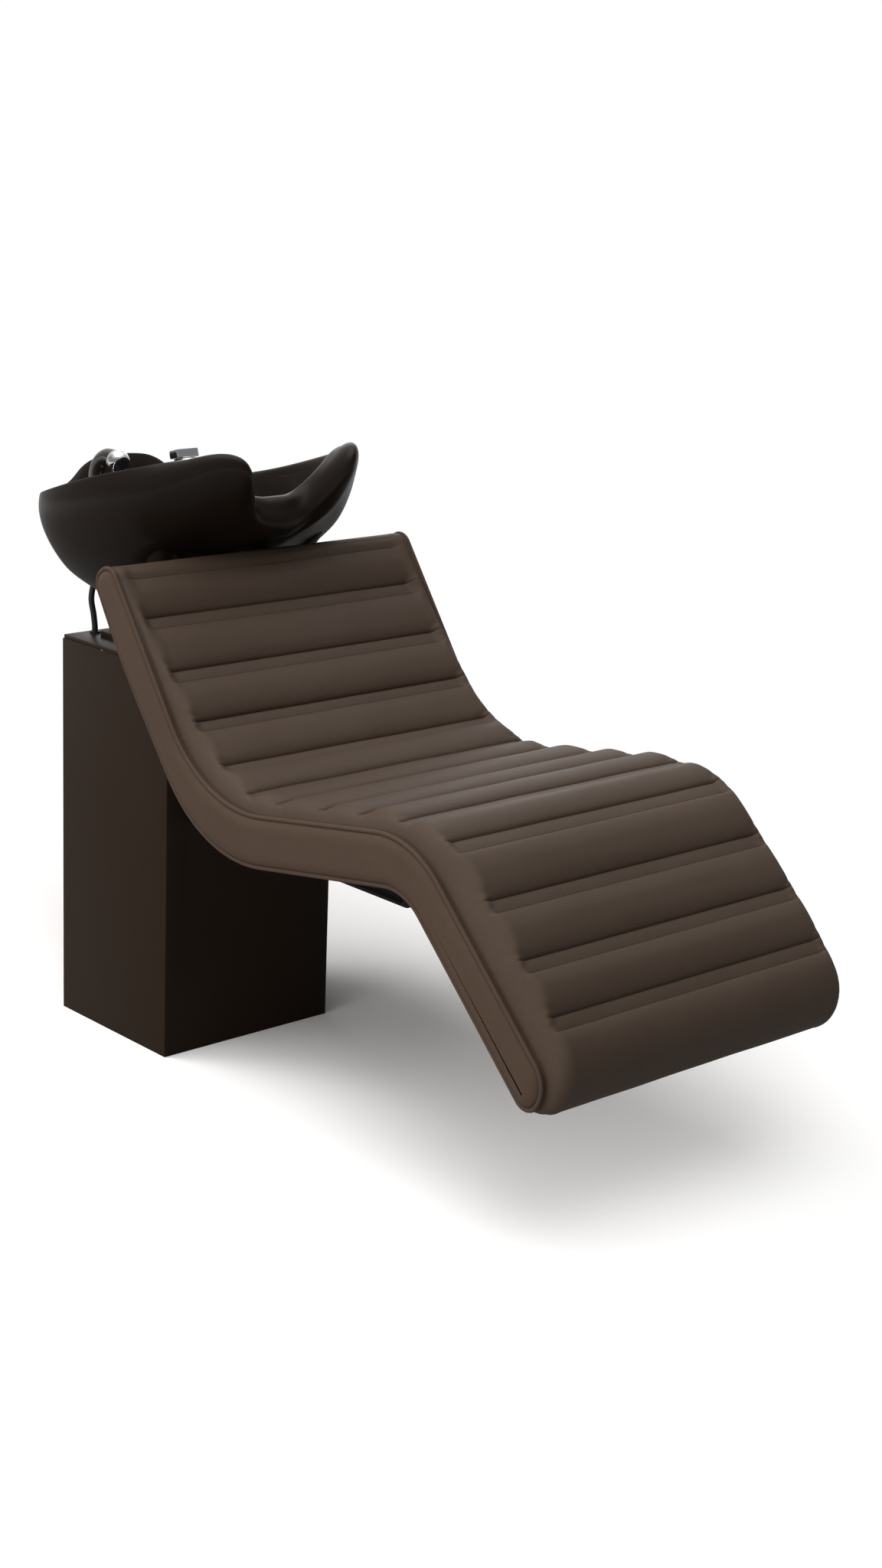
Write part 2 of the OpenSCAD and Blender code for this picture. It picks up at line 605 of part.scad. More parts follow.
// Outside, each ring as [out, up] from the rim
notch_rings = [[0, 0], [14, 1], [27, -7], [28, -28], [31, -40], [26, -62]];
lobe_rings = [[0, 0], [12, 5], [28, 6], [54, 15], [84, 11], [84, -18]];
side_rings = [[0, 0], [2, 0], [4, -4], [6, -10], [9, -22], [10, -45]];
function outer_point(p, k) = let (a = bearing(p), c = notch_part(a), n = lobe_part(a),
    s = 1 - c - n, d = away(p))
    [p[0] + d[0] * (c * notch_rings[k][0] + s * side_rings[k][0]),
     p[1] + d[1] * (c * notch_rings[k][0] + s * side_rings[k][0]) - n * lobe_rings[k][0],
     p[2] + c * notch_rings[k][1] + n * lobe_rings[k][1] + s * side_rings[k][1]];

// Below that the outside falls to the foot: shares kept of x and of v, and share fallen
foot_v = 40;
notch_fall = [[0.88, 0.72, 0.03], [0.76, 0.45, 0.05], [0.62, 0.3, 0.07], [0.45, 0.17, 0.2],
    [0.25, 0.05, 0.6], [0.1, 0.01, 0.85], [0, 0, 1]];
front_fall = [[0.96, 0.86, 0.2], [0.87, 0.64, 0.42], [0.74, 0.37, 0.53], [0.57, 0.18, 0.64],
    [0.4, 0.05, 0.82], [0.2, 0.01, 0.95], [0, 0, 1]];
side_fall = [[0.955, 0.955, 0.2], [0.85, 0.85, 0.42], [0.76, 0.76, 0.54], [0.61, 0.61, 0.67],
    [0.42, 0.42, 0.82], [0.2, 0.2, 0.95], [0, 0, 1]];
function fall_point(p, k) = let (q = outer_point(p, 5), a = bearing(p), c = notch_part(a),
    f = (1 - c) * (1 - ease(40, 125, a)), s = 1 - c - f, d = away(p) * foot_r,
    m = notch_fall[k] * c + front_fall[k] * f + side_fall[k] * s)
    [d[0] + (q[0] - d[0]) * m[0], foot_v + d[1] + (q[1] - foot_v - d[1]) * m[1],
     q[2] + (-basin_depth - q[2]) * m[2]];

// Inside, each ring as [share kept of the reach from the drain, share kept of the rim's height,
// height]; the rear opens into a level deck for the taps
drain_v = 60;
bowl_z = -basin_depth + 22;
front_bowl = [[0.98, 1, -3], [0.965, 1, -9], [0.94, 1, -20], [0.9, 1, -30], [0.84, 0.9, -46],
    [0.75, 0.7, -67], [0.6, 0.3, -109], [0.4, 0, -180]];
side_bowl = [[0.975, 1, -3], [0.955, 1, -14], [0.93, 1, -45], [0.9, 0.9, -80], [0.85, 0.7, -115],
    [0.77, 0.4, -145], [0.62, 0.2, -170], [0.4, 0, -184]];
rear_bowl = [[0.975, 0.75, -2], [0.945, 0.25, -6], [0.915, 0, -deck_drop], [0.56, 0, -deck_drop],
    [0.53, 0, -deck_drop - 9], [0.5, 0, -75], [0.45, 0, -145], [0.36, 0, -180]];
function bowl_point(p, k) = let (a = bearing(p), r = ease(118, 140, a), f = 1 - ease(35, 60, a),
    m = rear_bowl[k] * r + front_bowl[k] * f + side_bowl[k] * (1 - r - f))
    [p[0] * m[0], drain_v + (p[1] - drain_v) * m[0], p[2] * m[1] + m[2]];
function drain_ring(r, w) = [for (i = [0 : len(rim) - 1]) let (p = rim[i],
    a = atan2(p[0], -(p[1] - drain_v))) [r * sin(a), drain_v - r * cos(a), w]];
basin_rings = concat(
    [for (k = [0 : 5]) [for (p = rim) outer_point(p, k)]],
    [for (k = [0 : 6]) [for (p = rim) fall_point(p, k)]],
    [drain_ring(drain_d / 2, -basin_depth), drain_ring(drain_d / 2, bowl_z),
     drain_ring(36, bowl_z)],
    [for (k = [7 : -1 : 0]) [for (p = rim) bowl_point(p, k)]]);

pocket_x = 128;
pocket_front = 156;
pocket_rear = 196;
pocket_top = -45;
sleeve_v = 178;
sleeve_d = 20;
mixer_v = 174;
shank_d = 22;
module basin() color(ceramic) basin_frame() difference() {
    let (m = len(rim), n = len(basin_rings), points = joined(basin_rings))
        polyhedron(points, [for (r = [0 : n - 1]) for (i = [0 : m - 1])
            let (j = (i + 1) % m, a = r * m, b = ((r + 1) % n) * m) each
            [[a + i, a + j, b + j], [a + i, b + j, b + i]]]);
    box(-pocket_x, pocket_x, pocket_front, pocket_rear, -basin_depth - 20, pocket_top);
    translate([-shower_x, sleeve_v, pocket_top - 1]) cylinder(d = sleeve_d + 1, h = 60);
    translate([mixer_x, mixer_v, pocket_top - 1]) cylinder(d = shank_d + 2, h = 60);
}

// Drain, sleeve and taps on the basin
module drain_fitting() color(chrome) basin_frame() translate([0, drain_v, 0]) difference() {
    union() {
        translate([0, 0, bowl_z + 0.2]) cylinder(d = 62, h = 2.5);
        translate([0, 0, tail_w]) cylinder(d = drain_d - 4, h = bowl_z + 1 - tail_w);
    }
    translate([0, 0, bowl_z - 9]) cylinder(d = 36, h = 20);
    translate([0, 0, tail_w - 1]) cylinder(d = 30, h = 60);
}
tail_w = -basin_depth - 26;
module drain_nut() color(chrome) basin_frame() translate([0, drain_v, -basin_depth - 8.2])
    difference() {
        cylinder(d = 54, h = 8);
        translate([0, 0, -1]) cylinder(d = drain_d - 4, h = 10);
    }
module strainer() color(chrome) basin_frame() translate([0, drain_v, bowl_z - 9])
    difference() {
        union() {
            cylinder(d = 35.9, h = 3);
            cylinder(d = 8, h = 13);
            translate([0, 0, 13]) sphere(d = 12);
        }
        for (a = [0 : 60 : 300]) rotate([0, 0, a]) translate([11, 0, -1]) cylinder(d = 5, h = 6);
    }

sleeve_h = 92;
shank_r = 8;
module shower_sleeve() color(chrome) basin_frame() translate([-shower_x, sleeve_v, -deck_drop])
    difference() {
        union() {
            translate([0, 0, -sleeve_h]) cylinder(d = sleeve_d, h = sleeve_h + 1);
            translate([0, 0, 0.2]) cylinder(d = 32, h = 4);
        }
        translate([0, 0, -sleeve_h - 1]) cylinder(r = shank_r + 0.05, h = sleeve_h + 8);
    }

// Hand shower: the handle rises, arches forward over the bowl and ends in the spray head
arch_r = 42;
arch_turn = 135;
arch_w = 8;
module shower_frame() basin_frame() translate([-shower_x, sleeve_v - arch_r, arch_w])
    children();
module head_frame() shower_frame() rotate([arch_turn, 0, 0]) translate([0, arch_r, 0]) children();
module shower_handle() color(black) difference() {
    shower_frame() {
        rotate([90, 0, 90]) rotate_extrude(angle = arch_turn) translate([arch_r, 0])
            circle(d = handle_d);
        translate([0, arch_r, -arch_w - deck_drop + 4.5])
            cylinder(d = handle_d, h = arch_w + deck_drop - 4.5);
        translate([0, arch_r, -arch_w - deck_drop - 30]) cylinder(r = shank_r, h = 40);
        translate([0, arch_r, -arch_w - deck_drop - 76]) cylinder(d = hose_d - 1, h = 50);
    }
    head_frame() sphere(d = head_d + 0.2);
}
face_out = 9;
module shower_head() color(chrome) head_frame() difference() {
    sphere(d = head_d);
    translate([-head_d, -head_d, face_out + 2]) cube(2 * head_d);
    translate([0, 0, face_out]) cylinder(d = head_d - 10, h = 10);
}
module spray_face() color(black) head_frame() difference() {
    translate([0, 0, face_out]) cylinder(d = head_d - 10, h = 3);
    for (ring = [[0, 1], [5, 6], [9.5, 12]]) for (i = [1 : ring[1]])
        rotate([0, 0, i * 360 / ring[1]]) translate([ring[0], 0, face_out + 2])
            cylinder(d = 1.6, h = 2);
}

// Mixer: body, a cap that turns for warmth and a lever that lifts for flow
mixer_top = 38;
lever_w = [41, 55];
lever_x = 46;
lever_v = 28;
lift_v = 6;
lift_w = 46;
lift_max = 18;
module mixer_frame() basin_frame() translate([mixer_x, mixer_v, 0]) children();
module mixer_body() color(chrome) mixer_frame() difference() {
    union() {
        translate([0, 0, 0.5 - deck_drop]) cylinder(d = mixer_d, h = mixer_top + deck_drop - 0.5);
        translate([0, 0, pocket_top - 8]) cylinder(d = shank_d, h = 60);
    }
    translate([0, 0, mixer_top - 26]) cylinder(d = 12.1, h = 30);
}
module mixer_nut() color([0.72, 0.6, 0.35]) mixer_frame() translate([0, 0, pocket_top - 6.2])
    difference() {
        cylinder(d = 32, h = 6, $fn = 6);
        translate([0, 0, -1]) cylinder(d = shank_d, h = 8);
    }
module mixer_cap() color(chrome) mixer_frame() difference() {
    union() {
        translate([0, 0, mixer_top - 24]) cylinder(d = 12, h = 25);
        translate([0, 0, mixer_top + gap]) cylinder(d = mixer_d - 2, h = 2.5);
        box(-6, 6, lift_v - 12, lift_v + 4, mixer_top + 1, lift_w + 3);
        translate([-6, lift_v, lift_w]) rotate([0, 90, 0]) cylinder(r = 4, h = 12);
    }
    translate([-8, lift_v, lift_w]) rotate([0, 90, 0]) cylinder(d = 5.1, h = 16);
}
module mixer_lever() color(chrome) mixer_frame() {
    difference() {
        translate([-lever_x / 2 + 5, -lever_v / 2 + 5, lever_w[0]])
            linear_extrude(lever_w[1] - lever_w[0]) union() {
                translate([-5, 0]) square([lever_x, lever_v - 10]);
                translate([0, -5]) square([lever_x - 10, lever_v]);
                for (x = [0, lever_x - 10]) for (v = [0, lever_v - 10])
                    translate([x, v]) circle(r = 5);
            }
        box(-6.5, 6.5, lift_v - 15, lever_v, lever_w[0] - 1, lever_w[1] - 3);
        translate([-lever_x, lift_v, lever_w[0]]) rotate([lift_max + 2, 0, 0])
            translate([0, 0, -10]) cube([2 * lever_x, lever_v, 10]);
    }
    translate([-8, lift_v, lift_w]) rotate([0, 90, 0]) cylinder(d = 5, h = 16);
}

// Tilt joint: a stand on the column, two stub pins and the carrier under the basin
pivot_y = -18;
pivot_z = col_h + pivot_rise;
pivot = to_basin(pivot_y, pivot_z);
stand_x = 125;
stand_front = -70;
stand_rear = hose_row_y - 18;
stand_t = 8;
stand_r = 12;
module stand_ear(x) translate([x, 0, 0]) rotate([90, 0, 90]) linear_extrude(ear_t) union() {
    polygon([[pivot_y - 44, col_h + stand_t - 1], [pivot_y + 44, col_h + stand_t - 1],
        [pivot_y + 15, pivot_z], [pivot_y - 15, pivot_z]]);
    translate([pivot_y, pivot_z]) circle(r = 15);
}
module tilt_stand() color(black) difference() {
    union() {
        translate([0, 0, col_h]) linear_extrude(stand_t) union() {
            translate([-stand_x, stand_front + stand_r])
                square([2 * stand_x, stand_rear - stand_front - 2 * stand_r]);
            translate([-stand_x + stand_r, stand_front])
                square([2 * stand_x - 2 * stand_r, stand_rear - stand_front]);
            for (x = [-1, 1]) for (y = [stand_front + stand_r, stand_rear - stand_r])
                translate([x * (stand_x - stand_r), y]) circle(r = stand_r);
        }
        stand_ear(ear_gap / 2);
        stand_ear(-ear_gap / 2 - ear_t);
    }
    box(-well_x, well_x, well_front, well_rear, col_h - 1, col_h + stand_t + 1);
    translate([-ear_gap, pivot_y, pivot_z]) rotate([0, 90, 0]) cylinder(d = shaft_d, h = 2 * ear_gap);
}
module tilt_pins() color(steel) for (side = [-1, 1]) translate([side * ear_gap / 2, pivot_y, pivot_z])
    rotate([0, side * 90, 0]) {
        translate([0, 0, -14]) cylinder(d = shaft_d, h = 14 + ear_t + 3);
        translate([0, 0, ear_t]) cylinder(d = shaft_d + 8, h = 3);
    }
pad_w = -basin_depth - 3.2;
plate_w = pad_w - 0.2 - 5;
module basin_pad() color(rubber) basin_frame() translate([0, foot_v, pad_w]) difference() {
    cylinder(r = foot_r - 8, h = 3);
    translate([0, drain_v - foot_v, -1]) cylinder(r = 34, h = 5);
}
module carrier_lug(x) translate([x, 0, 0]) rotate([90, 0, 90]) linear_extrude(8) union() {
    translate([pivot[0] - 26, pivot[1] + 4]) square([52, plate_w - pivot[1] - 3]);
    translate([pivot[0] - 14, pivot[1]]) square([28, 10]);
    translate(pivot) circle(r = 14);
}
module basin_carrier() color(black) basin_frame() difference() {
    union() {
        box(-88, 88, foot_v - 80, foot_v + 80, plate_w, plate_w + 5);
        carrier_lug(ear_gap / 2 - 8.5);
        carrier_lug(-ear_gap / 2 + 0.5);
    }
    translate([0, drain_v, plate_w - 1]) cylinder(r = 29, h = 8);
    translate([-ear_gap, pivot[0], pivot[1]]) rotate([0, 90, 0])
        cylinder(d = shaft_d + 0.1, h = 2 * ear_gap);
}

// Hoses: tubes swept along their routes, [x, y, z] from the top down
function route(keys, per) = let (n = len(keys)) [for (i = [0 : n - 2]) for (j = [0 : per - 1])
    smooth(keys[max(0, i - 1)], keys[i], keys[i + 1], keys[min(n - 1, i + 2)], j / per),
    keys[n - 1]];
module hose(path, d, sides) {
    n = len(path);
    rings = [for (i = [0 : n - 1]) let (t = unit(path[min(n - 1, i + 1)] - path[max(0, i - 1)]),
        a = unit(cross(t, [0.15, 1, 0.1])), b = cross(t, a)) each [for (k = [0 : sides - 1])
        path[i] + (a * cos(k * 360 / sides) + b * sin(k * 360 / sides)) * d / 2]];
    polyhedron(rings, concat(
        [for (i = [0 : n - 2]) for (k = [0 : sides - 1]) let (j = (k + 1) % sides, a = i * sides)
            each [[a + k, a + sides + j, a + j], [a + k, a + sides + k, a + sides + j]]],
        [[for (k = [0 : sides - 1]) k], [for (k = [sides - 1 : -1 : 0]) (n - 1) * sides + k]]));
}
module water_hose(side, x, way) hose(concat(
    [to_world([mixer_x + side * 6, mixer_v - 3, pocket_top - 8.5])],
    route(concat([to_world([mixer_x + side * 6, mixer_v - 3, pocket_top - 14]),
        to_world([mixer_x + side * 7, mixer_v - 3, -90]), to_world([x, mixer_v - 2, -140]),
        [x, hose_row_y + 2, col_h + 30], [x, hose_row_y, col_h], [x, hose_row_y, col_h - 60]], way,
        [[side * pipe_x, pipe_y, valve_z + 60], [side * pipe_x, pipe_y, valve_z + 32]]), 3),
    [[side * pipe_x, pipe_y, valve_z + 27.4]]), 9, 8);
module hose_hot() color([0.5, 0.5, 0.52]) water_hose(-1, hose_row[0],
    [[30, hose_row_y, col_h - 92], [-36, hose_row_y - 5, col_h - 138],
     [-44, hose_row_y - 19, col_h - 208]]);
module hose_cold() color([0.5, 0.5, 0.52]) water_hose(1, hose_row[1],
    [[76, hose_row_y - 13, col_h - 158]]);
shower_start = to_world([-shower_x, sleeve_v, -deck_drop - 76.5]);
shower_end = to_world([mixer_x, mixer_v + 6, pocket_top - 8.5]);
shower_route = [
    to_world([-shower_x, sleeve_v, -deck_drop - 82]),
    to_world([-shower_x, sleeve_v, -deck_drop - sleeve_h - 4]),
    to_world([-shower_x - 12, sleeve_v + 2, -126]), to_world([-114, 188, -146]),
    [shower_hole[0], shower_hole[1] + 11, col_h + 57], [shower_hole[0], shower_hole[1] + 4, col_h + 28],
    [shower_hole[0], shower_hole[1], col_h - 2],
    [shower_hole[0], shower_hole[1], col_h - 70], [shower_hole[0] + 14, shower_hole[1], col_h - 140],
    [-45, hose_row_y, col_h - 203], [10, hose_row_y, col_h - 218], [70, hose_row_y, col_h - 193],
    [hose_row[2] - 10, hose_row_y, col_h - 130],
    [hose_row[2], hose_row_y, col_h - 60], [hose_row[2], hose_row_y, col_h],
    [hose_row[2], hose_row_y + 4, col_h + 30], to_world([hose_row[2] - 2, mixer_v + 10, -140]),
    to_world([mixer_x + 7, mixer_v + 8, -90]), to_world([mixer_x, mixer_v + 6, pocket_top - 14])];
module shower_hose() color(black)
    hose(concat([shower_start], route(shower_route, 3), [shower_end]), hose_d - 1, 10);
module waste_hose() color(black) hose(concat([to_world([0, drain_v, tail_w - 0.6])],
    route([to_world([0, drain_v, tail_w - 5]), to_world([0, drain_v, tail_w - 15]),
        [0, -8, col_h + 4], [0, 10, col_h - 24], [0, 34, col_h - 50],
        [0, trap_y, trap_z + trap_h + 40],
        [0, trap_y, trap_z + trap_h + 30]], 2), [[0, trap_y, trap_z + trap_h + 24.6]]), 34, 12);

seat_pad();
border_left();
border_right();
piping_left();
piping_right();
back_panel();
seat_shell();
former_left();
former_right();
mount_board();
seat_carrier();
carrier_bolts();
support_arm();
column_shell();
column_top();
base_plate();
post();
ballast_left();
ballast_right();
hinge_leaves();
hinge_pins();
rear_door();
door_pull();
door_magnets();
trap();
waste_pipe();
waste_hose();
valve_hot();
valve_cold();
handle_hot();
handle_cold();
hose_hot();
hose_cold();
grommet_left();
grommets_right();
tilt_stand();
tilt_pins();
basin_carrier();
basin_pad();
basin();
drain_fitting();
drain_nut();
strainer();
shower_sleeve();
shower_hose();
shower_handle();
shower_head();
spray_face();
mixer_body();
mixer_nut();
mixer_cap();
mixer_lever();
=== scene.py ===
import bisect
import json
from math import acos, atan2, ceil, cos, degrees, exp, pi, radians, sin, sqrt, tan
import bpy
import bmesh
from mathutils import Matrix, Vector, noise


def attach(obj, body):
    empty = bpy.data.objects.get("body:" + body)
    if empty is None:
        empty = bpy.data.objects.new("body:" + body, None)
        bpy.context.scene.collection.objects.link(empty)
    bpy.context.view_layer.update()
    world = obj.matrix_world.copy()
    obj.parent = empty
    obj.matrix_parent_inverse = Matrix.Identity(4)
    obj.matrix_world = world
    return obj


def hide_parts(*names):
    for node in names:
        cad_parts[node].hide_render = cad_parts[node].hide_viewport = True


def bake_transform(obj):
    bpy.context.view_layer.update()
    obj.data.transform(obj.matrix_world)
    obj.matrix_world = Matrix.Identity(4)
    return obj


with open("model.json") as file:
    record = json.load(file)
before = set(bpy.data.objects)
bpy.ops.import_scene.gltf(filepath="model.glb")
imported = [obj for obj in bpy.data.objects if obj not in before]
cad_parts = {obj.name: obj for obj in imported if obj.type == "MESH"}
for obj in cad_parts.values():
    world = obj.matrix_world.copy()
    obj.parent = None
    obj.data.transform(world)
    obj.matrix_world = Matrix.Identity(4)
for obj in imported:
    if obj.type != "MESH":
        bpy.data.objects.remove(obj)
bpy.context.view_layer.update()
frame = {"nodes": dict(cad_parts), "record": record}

scene = bpy.context.scene
scene.view_settings.view_transform = "Standard"
mm = 0.001


def placed(name, data):
    thing = bpy.data.objects.new(name, data)
    scene.collection.objects.link(thing)
    return thing


def toMesh(name, bm):
    mesh = bpy.data.meshes.new(name)
    bm.to_mesh(mesh)
    bm.free()
    return mesh


# Camera at the photograph's place, found from the column's and the lounger's straight edges
shot = {
    "place": (-2.508, -3.348, 1.595),
    "yaw": 42.48,  # degrees from +Y towards +X
    "pitch": 15.72,  # looking down
    "roll": 2.25,
    "lens": 58.83,
    "sensor": 36,
}


def makeCamera():
    yaw, pitch, roll = (radians(shot[k]) for k in ("yaw", "pitch", "roll"))
    ahead = Vector((sin(yaw) * cos(pitch), cos(yaw) * cos(pitch), -sin(pitch)))
    level = Vector((cos(yaw), -sin(yaw), 0))
    upright = level.cross(ahead)
    right = level * cos(roll) + upright * sin(roll)
    up = upright * cos(roll) - level * sin(roll)
    data = bpy.data.cameras.new("photoCamera")
    data.lens, data.sensor_width = shot["lens"], shot["sensor"]
    camera = placed("photoCamera", data)
    facing = Matrix((right, up, -ahead)).transposed().to_4x4()
    camera.matrix_world = Matrix.Translation(shot["place"]) @ facing
    scene.camera = camera


# A socket that can be used in sums, and the material that it belongs to
class Wire:
    def __init__(self, shader, socket):
        self.shader, self.socket = shader, socket

    def __add__(self, other):
        return self.shader.node("Math", {"operation": "ADD"}, {0: self, 1: other})

    def __mul__(self, other):
        return self.shader.node("Math", {"operation": "MULTIPLY"}, {0: self, 1: other})

    def clamp(self):
        return self.shader.node("Clamp", values={"Value": self})


# A material or world with its node tree
class Shader:
    def __init__(self, name, world=None):
        self.material = world or bpy.data.materials.new(name)
        self.material.use_nodes = True
        self.tree = self.material.node_tree
        self.principled = self.tree.nodes.get("Principled BSDF")
        self.end = self.tree.nodes.get("World Output" if world else "Material Output")
        self.place = self.node("TexCoord", out="Generated" if world else "Object")

    def node(self, kind, settings=None, values=None, out=0):
        made = self.tree.nodes.new("ShaderNode" + kind)
        for key, value in (settings or {}).items():
            setattr(made, key, value)
        self.feed(made.inputs, values or {})
        return Wire(self, made.outputs[out])

    def feed(self, sockets, values):
        for key, value in values.items():
            if isinstance(value, Wire):
                self.tree.links.new(value.socket, sockets[key])
            else:
                sockets[key].default_value = value

    def set(self, **values):
        self.feed(self.principled.inputs, {key.replace("_", " "): value for key, value in values.items()})

    def grain(self, scale, detail=2, roughness=0.5, stretch=None):
        place = self.place
        if stretch:
            place = self.node("Mapping", values={"Vector": place, "Scale": stretch}, out="Vector")
        return self.node("TexNoise", values={
            "Vector": place, "Scale": scale, "Detail": detail, "Roughness": roughness}, out="Fac")

    def patches(self, low, high, *grain):
        return self.levels(self.grain(*grain), low, high)

    def cells(self, scale, feature="F1"):
        return self.node("TexVoronoi", {"feature": feature}, {
            "Vector": self.place, "Scale": scale}, out="Distance")

    def between(self, factor, first, second):
        return self.node("Mix", {"data_type": "RGBA"}, {
            0: factor, 6: (*first, 1), 7: (*second, 1)}, out=2)

    def levels(self, value, low, high, toLow=0, toHigh=1):
        return self.node("MapRange", values={
            "Value": value, "From Min": low, "From Max": high, "To Min": toLow, "To Max": toHigh})

    def bump(self, height, distance, strength=1, normal=None):
        values = {"Height": height, "Distance": distance, "Strength": strength}
        if normal:
            values["Normal"] = normal
        return self.node("Bump", values=values, out="Normal")


def shade(colour, by, more=0):
    return tuple(c * by + more for c in colour)


# Coated upholstery cloth: fine leather-like grain, soft sheen, a little wear in the colour
def coatedCloth(s, base, worn):
    patches = s.patches(0.35, 0.65, 5, 4, 0.6)
    mottle = s.patches(0.3, 0.7, 160)
    pores = s.cells(620, "DISTANCE_TO_EDGE")
    pits = s.levels(pores, 0.0, 0.22)
    creases = s.grain(55, 5, 0.65)
    s.set(Base_Color=s.between((patches * 0.55 + mottle * 0.25).clamp(), base, worn),
          Roughness=s.levels(patches * 0.6 + mottle * 0.4, 0, 1, 0.46, 0.55), Specular_IOR_Level=0.14,
          Normal=s.bump(pits, 0.00022, 0.5, s.bump(creases, 0.0011, 0.35)))


def thread(s, base):
    twist = s.grain(900, 1)
    s.set(Base_Color=s.between(twist, base, shade(base, 1.5)), Roughness=0.6,
          Sheen_Weight=0.2, Normal=s.bump(twist, 0.0003))


# Powder coat: even colour with a very fine orange-peel surface and faint rubbed patches
def powderCoat(s, base, rough=0.38):
    rubbed = s.patches(0.4, 0.68, 3.5, 5, 0.6)
    specks = s.patches(0.62, 0.72, 1500, 1)
    s.set(Base_Color=s.between((rubbed * 0.22 + specks * 0.1).clamp(), base, shade(base, 1.35, 0.004)),
          Roughness=s.levels(rubbed, 0, 1, rough, rough + 0.07), Specular_IOR_Level=0.08,
          Normal=s.bump(s.grain(420, 2), 0.00012, 0.6))


def polishedChrome(s):
    film = s.patches(0.45, 0.8, 24, 4, 0.6)
    s.set(Base_Color=s.between(film, (0.86, 0.86, 0.88), (0.74, 0.745, 0.76)), Metallic=1.0,
          Roughness=s.levels(film, 0, 1, 0.06, 0.16), Normal=s.bump(s.grain(30, 1), 0.00005, 0.3))


def plainSteel(s, base=(0.42, 0.43, 0.44), rough=0.36):
    lines = s.grain(260, 3, 0.6, (1, 1, 0.06))
    stains = s.patches(0.4, 0.75, 14, 4, 0.6)
    s.set(Base_Color=s.between(stains, base, shade(base, 0.72)), Metallic=1.0,
          Roughness=s.levels(lines * 0.5 + stains * 0.5, 0.2, 0.8, rough - 0.06, rough + 0.12),
          Normal=s.bump(lines, 0.00008, 0.5))


def castIron(s):
    sand = s.grain(340, 4, 0.65)
    rust = s.patches(0.35, 0.7, 9, 4)
    s.set(Base_Color=s.between(rust, (0.028, 0.029, 0.031), (0.055, 0.052, 0.05)), Metallic=0.3,
          Roughness=s.levels(sand, 0.2, 0.8, 0.55, 0.75), Normal=s.bump(sand, 0.0007))


def birchPly(s):
    veneer = s.grain(16, 5, 0.6, (0.25, 5, 5))
    fibre = s.grain(240, 3, 0.6, (0.12, 1, 1))
    layers = s.node("TexWave", {"bands_direction": "Z"}, {
        "Vector": s.place, "Scale": 105, "Distortion": 1.2, "Detail": 2}, out="Fac")
    s.set(Base_Color=s.between((veneer * 0.6 + layers * 0.3).clamp(), (0.56, 0.39, 0.22), (0.34, 0.2, 0.1)),
          Roughness=s.levels(fibre, 0.2, 0.8, 0.55, 0.72), Normal=s.bump(fibre, 0.0002))


# Ceramic: dark body under a soft clear glaze, pin-prick waviness, water marks in the gloss
def glazedCeramic(s):
    pooled = s.patches(0.35, 0.7, 7, 3, 0.55)
    specks = s.levels(s.cells(240), 0.08, 0.16)
    marks = s.patches(0.52, 0.74, 42, 5, 0.7)
    s.set(Base_Color=s.between(pooled * specks, (0.0090, 0.0056, 0.0036), (0.0116, 0.0076, 0.0052)),
          Roughness=s.levels(marks, 0, 1, 0.40, 0.46), Specular_IOR_Level=0.12,
          Coat_Weight=s.levels(marks, 0, 1, 0.08, 0.05), Coat_Roughness=0.1,
          Normal=s.bump(s.grain(26, 2), 0.0003, 0.15))


def moulded(s, base, rough, texture=0.00015, coat=0.0):
    sheen = s.patches(0.35, 0.7, 30, 4, 0.6)
    s.set(Base_Color=s.between(sheen * 0.4, base, shade(base, 1.3, 0.004)),
          Roughness=s.levels(sheen, 0, 1, rough, rough + 0.09), Coat_Weight=coat, Coat_Roughness=0.08,
          Normal=s.bump(s.grain(700, 2), texture, 0.5))


# Braid: a steel net of crossing strands, drawn along the hose by its own UV map
def braid(s, base, across, along, metal):
    uv = s.node("UVMap", {"uv_map": "hoseUV"})
    strands = [s.node("TexWave", {"bands_direction": "X"}, {
        "Vector": s.node("Mapping", values={
            "Vector": uv, "Rotation": (0, 0, turn), "Scale": (across, along, 1)}, out="Vector"),
        "Scale": 1.0}, out="Fac") for turn in (0.7, -0.7)]
    weave = strands[0] * strands[1]
    s.set(Base_Color=s.between(weave, shade(base, 0.45), base), Metallic=metal,
          Roughness=s.levels(weave, 0, 1, 0.5, 0.3), Normal=s.bump(weave, 0.0005, 0.6))


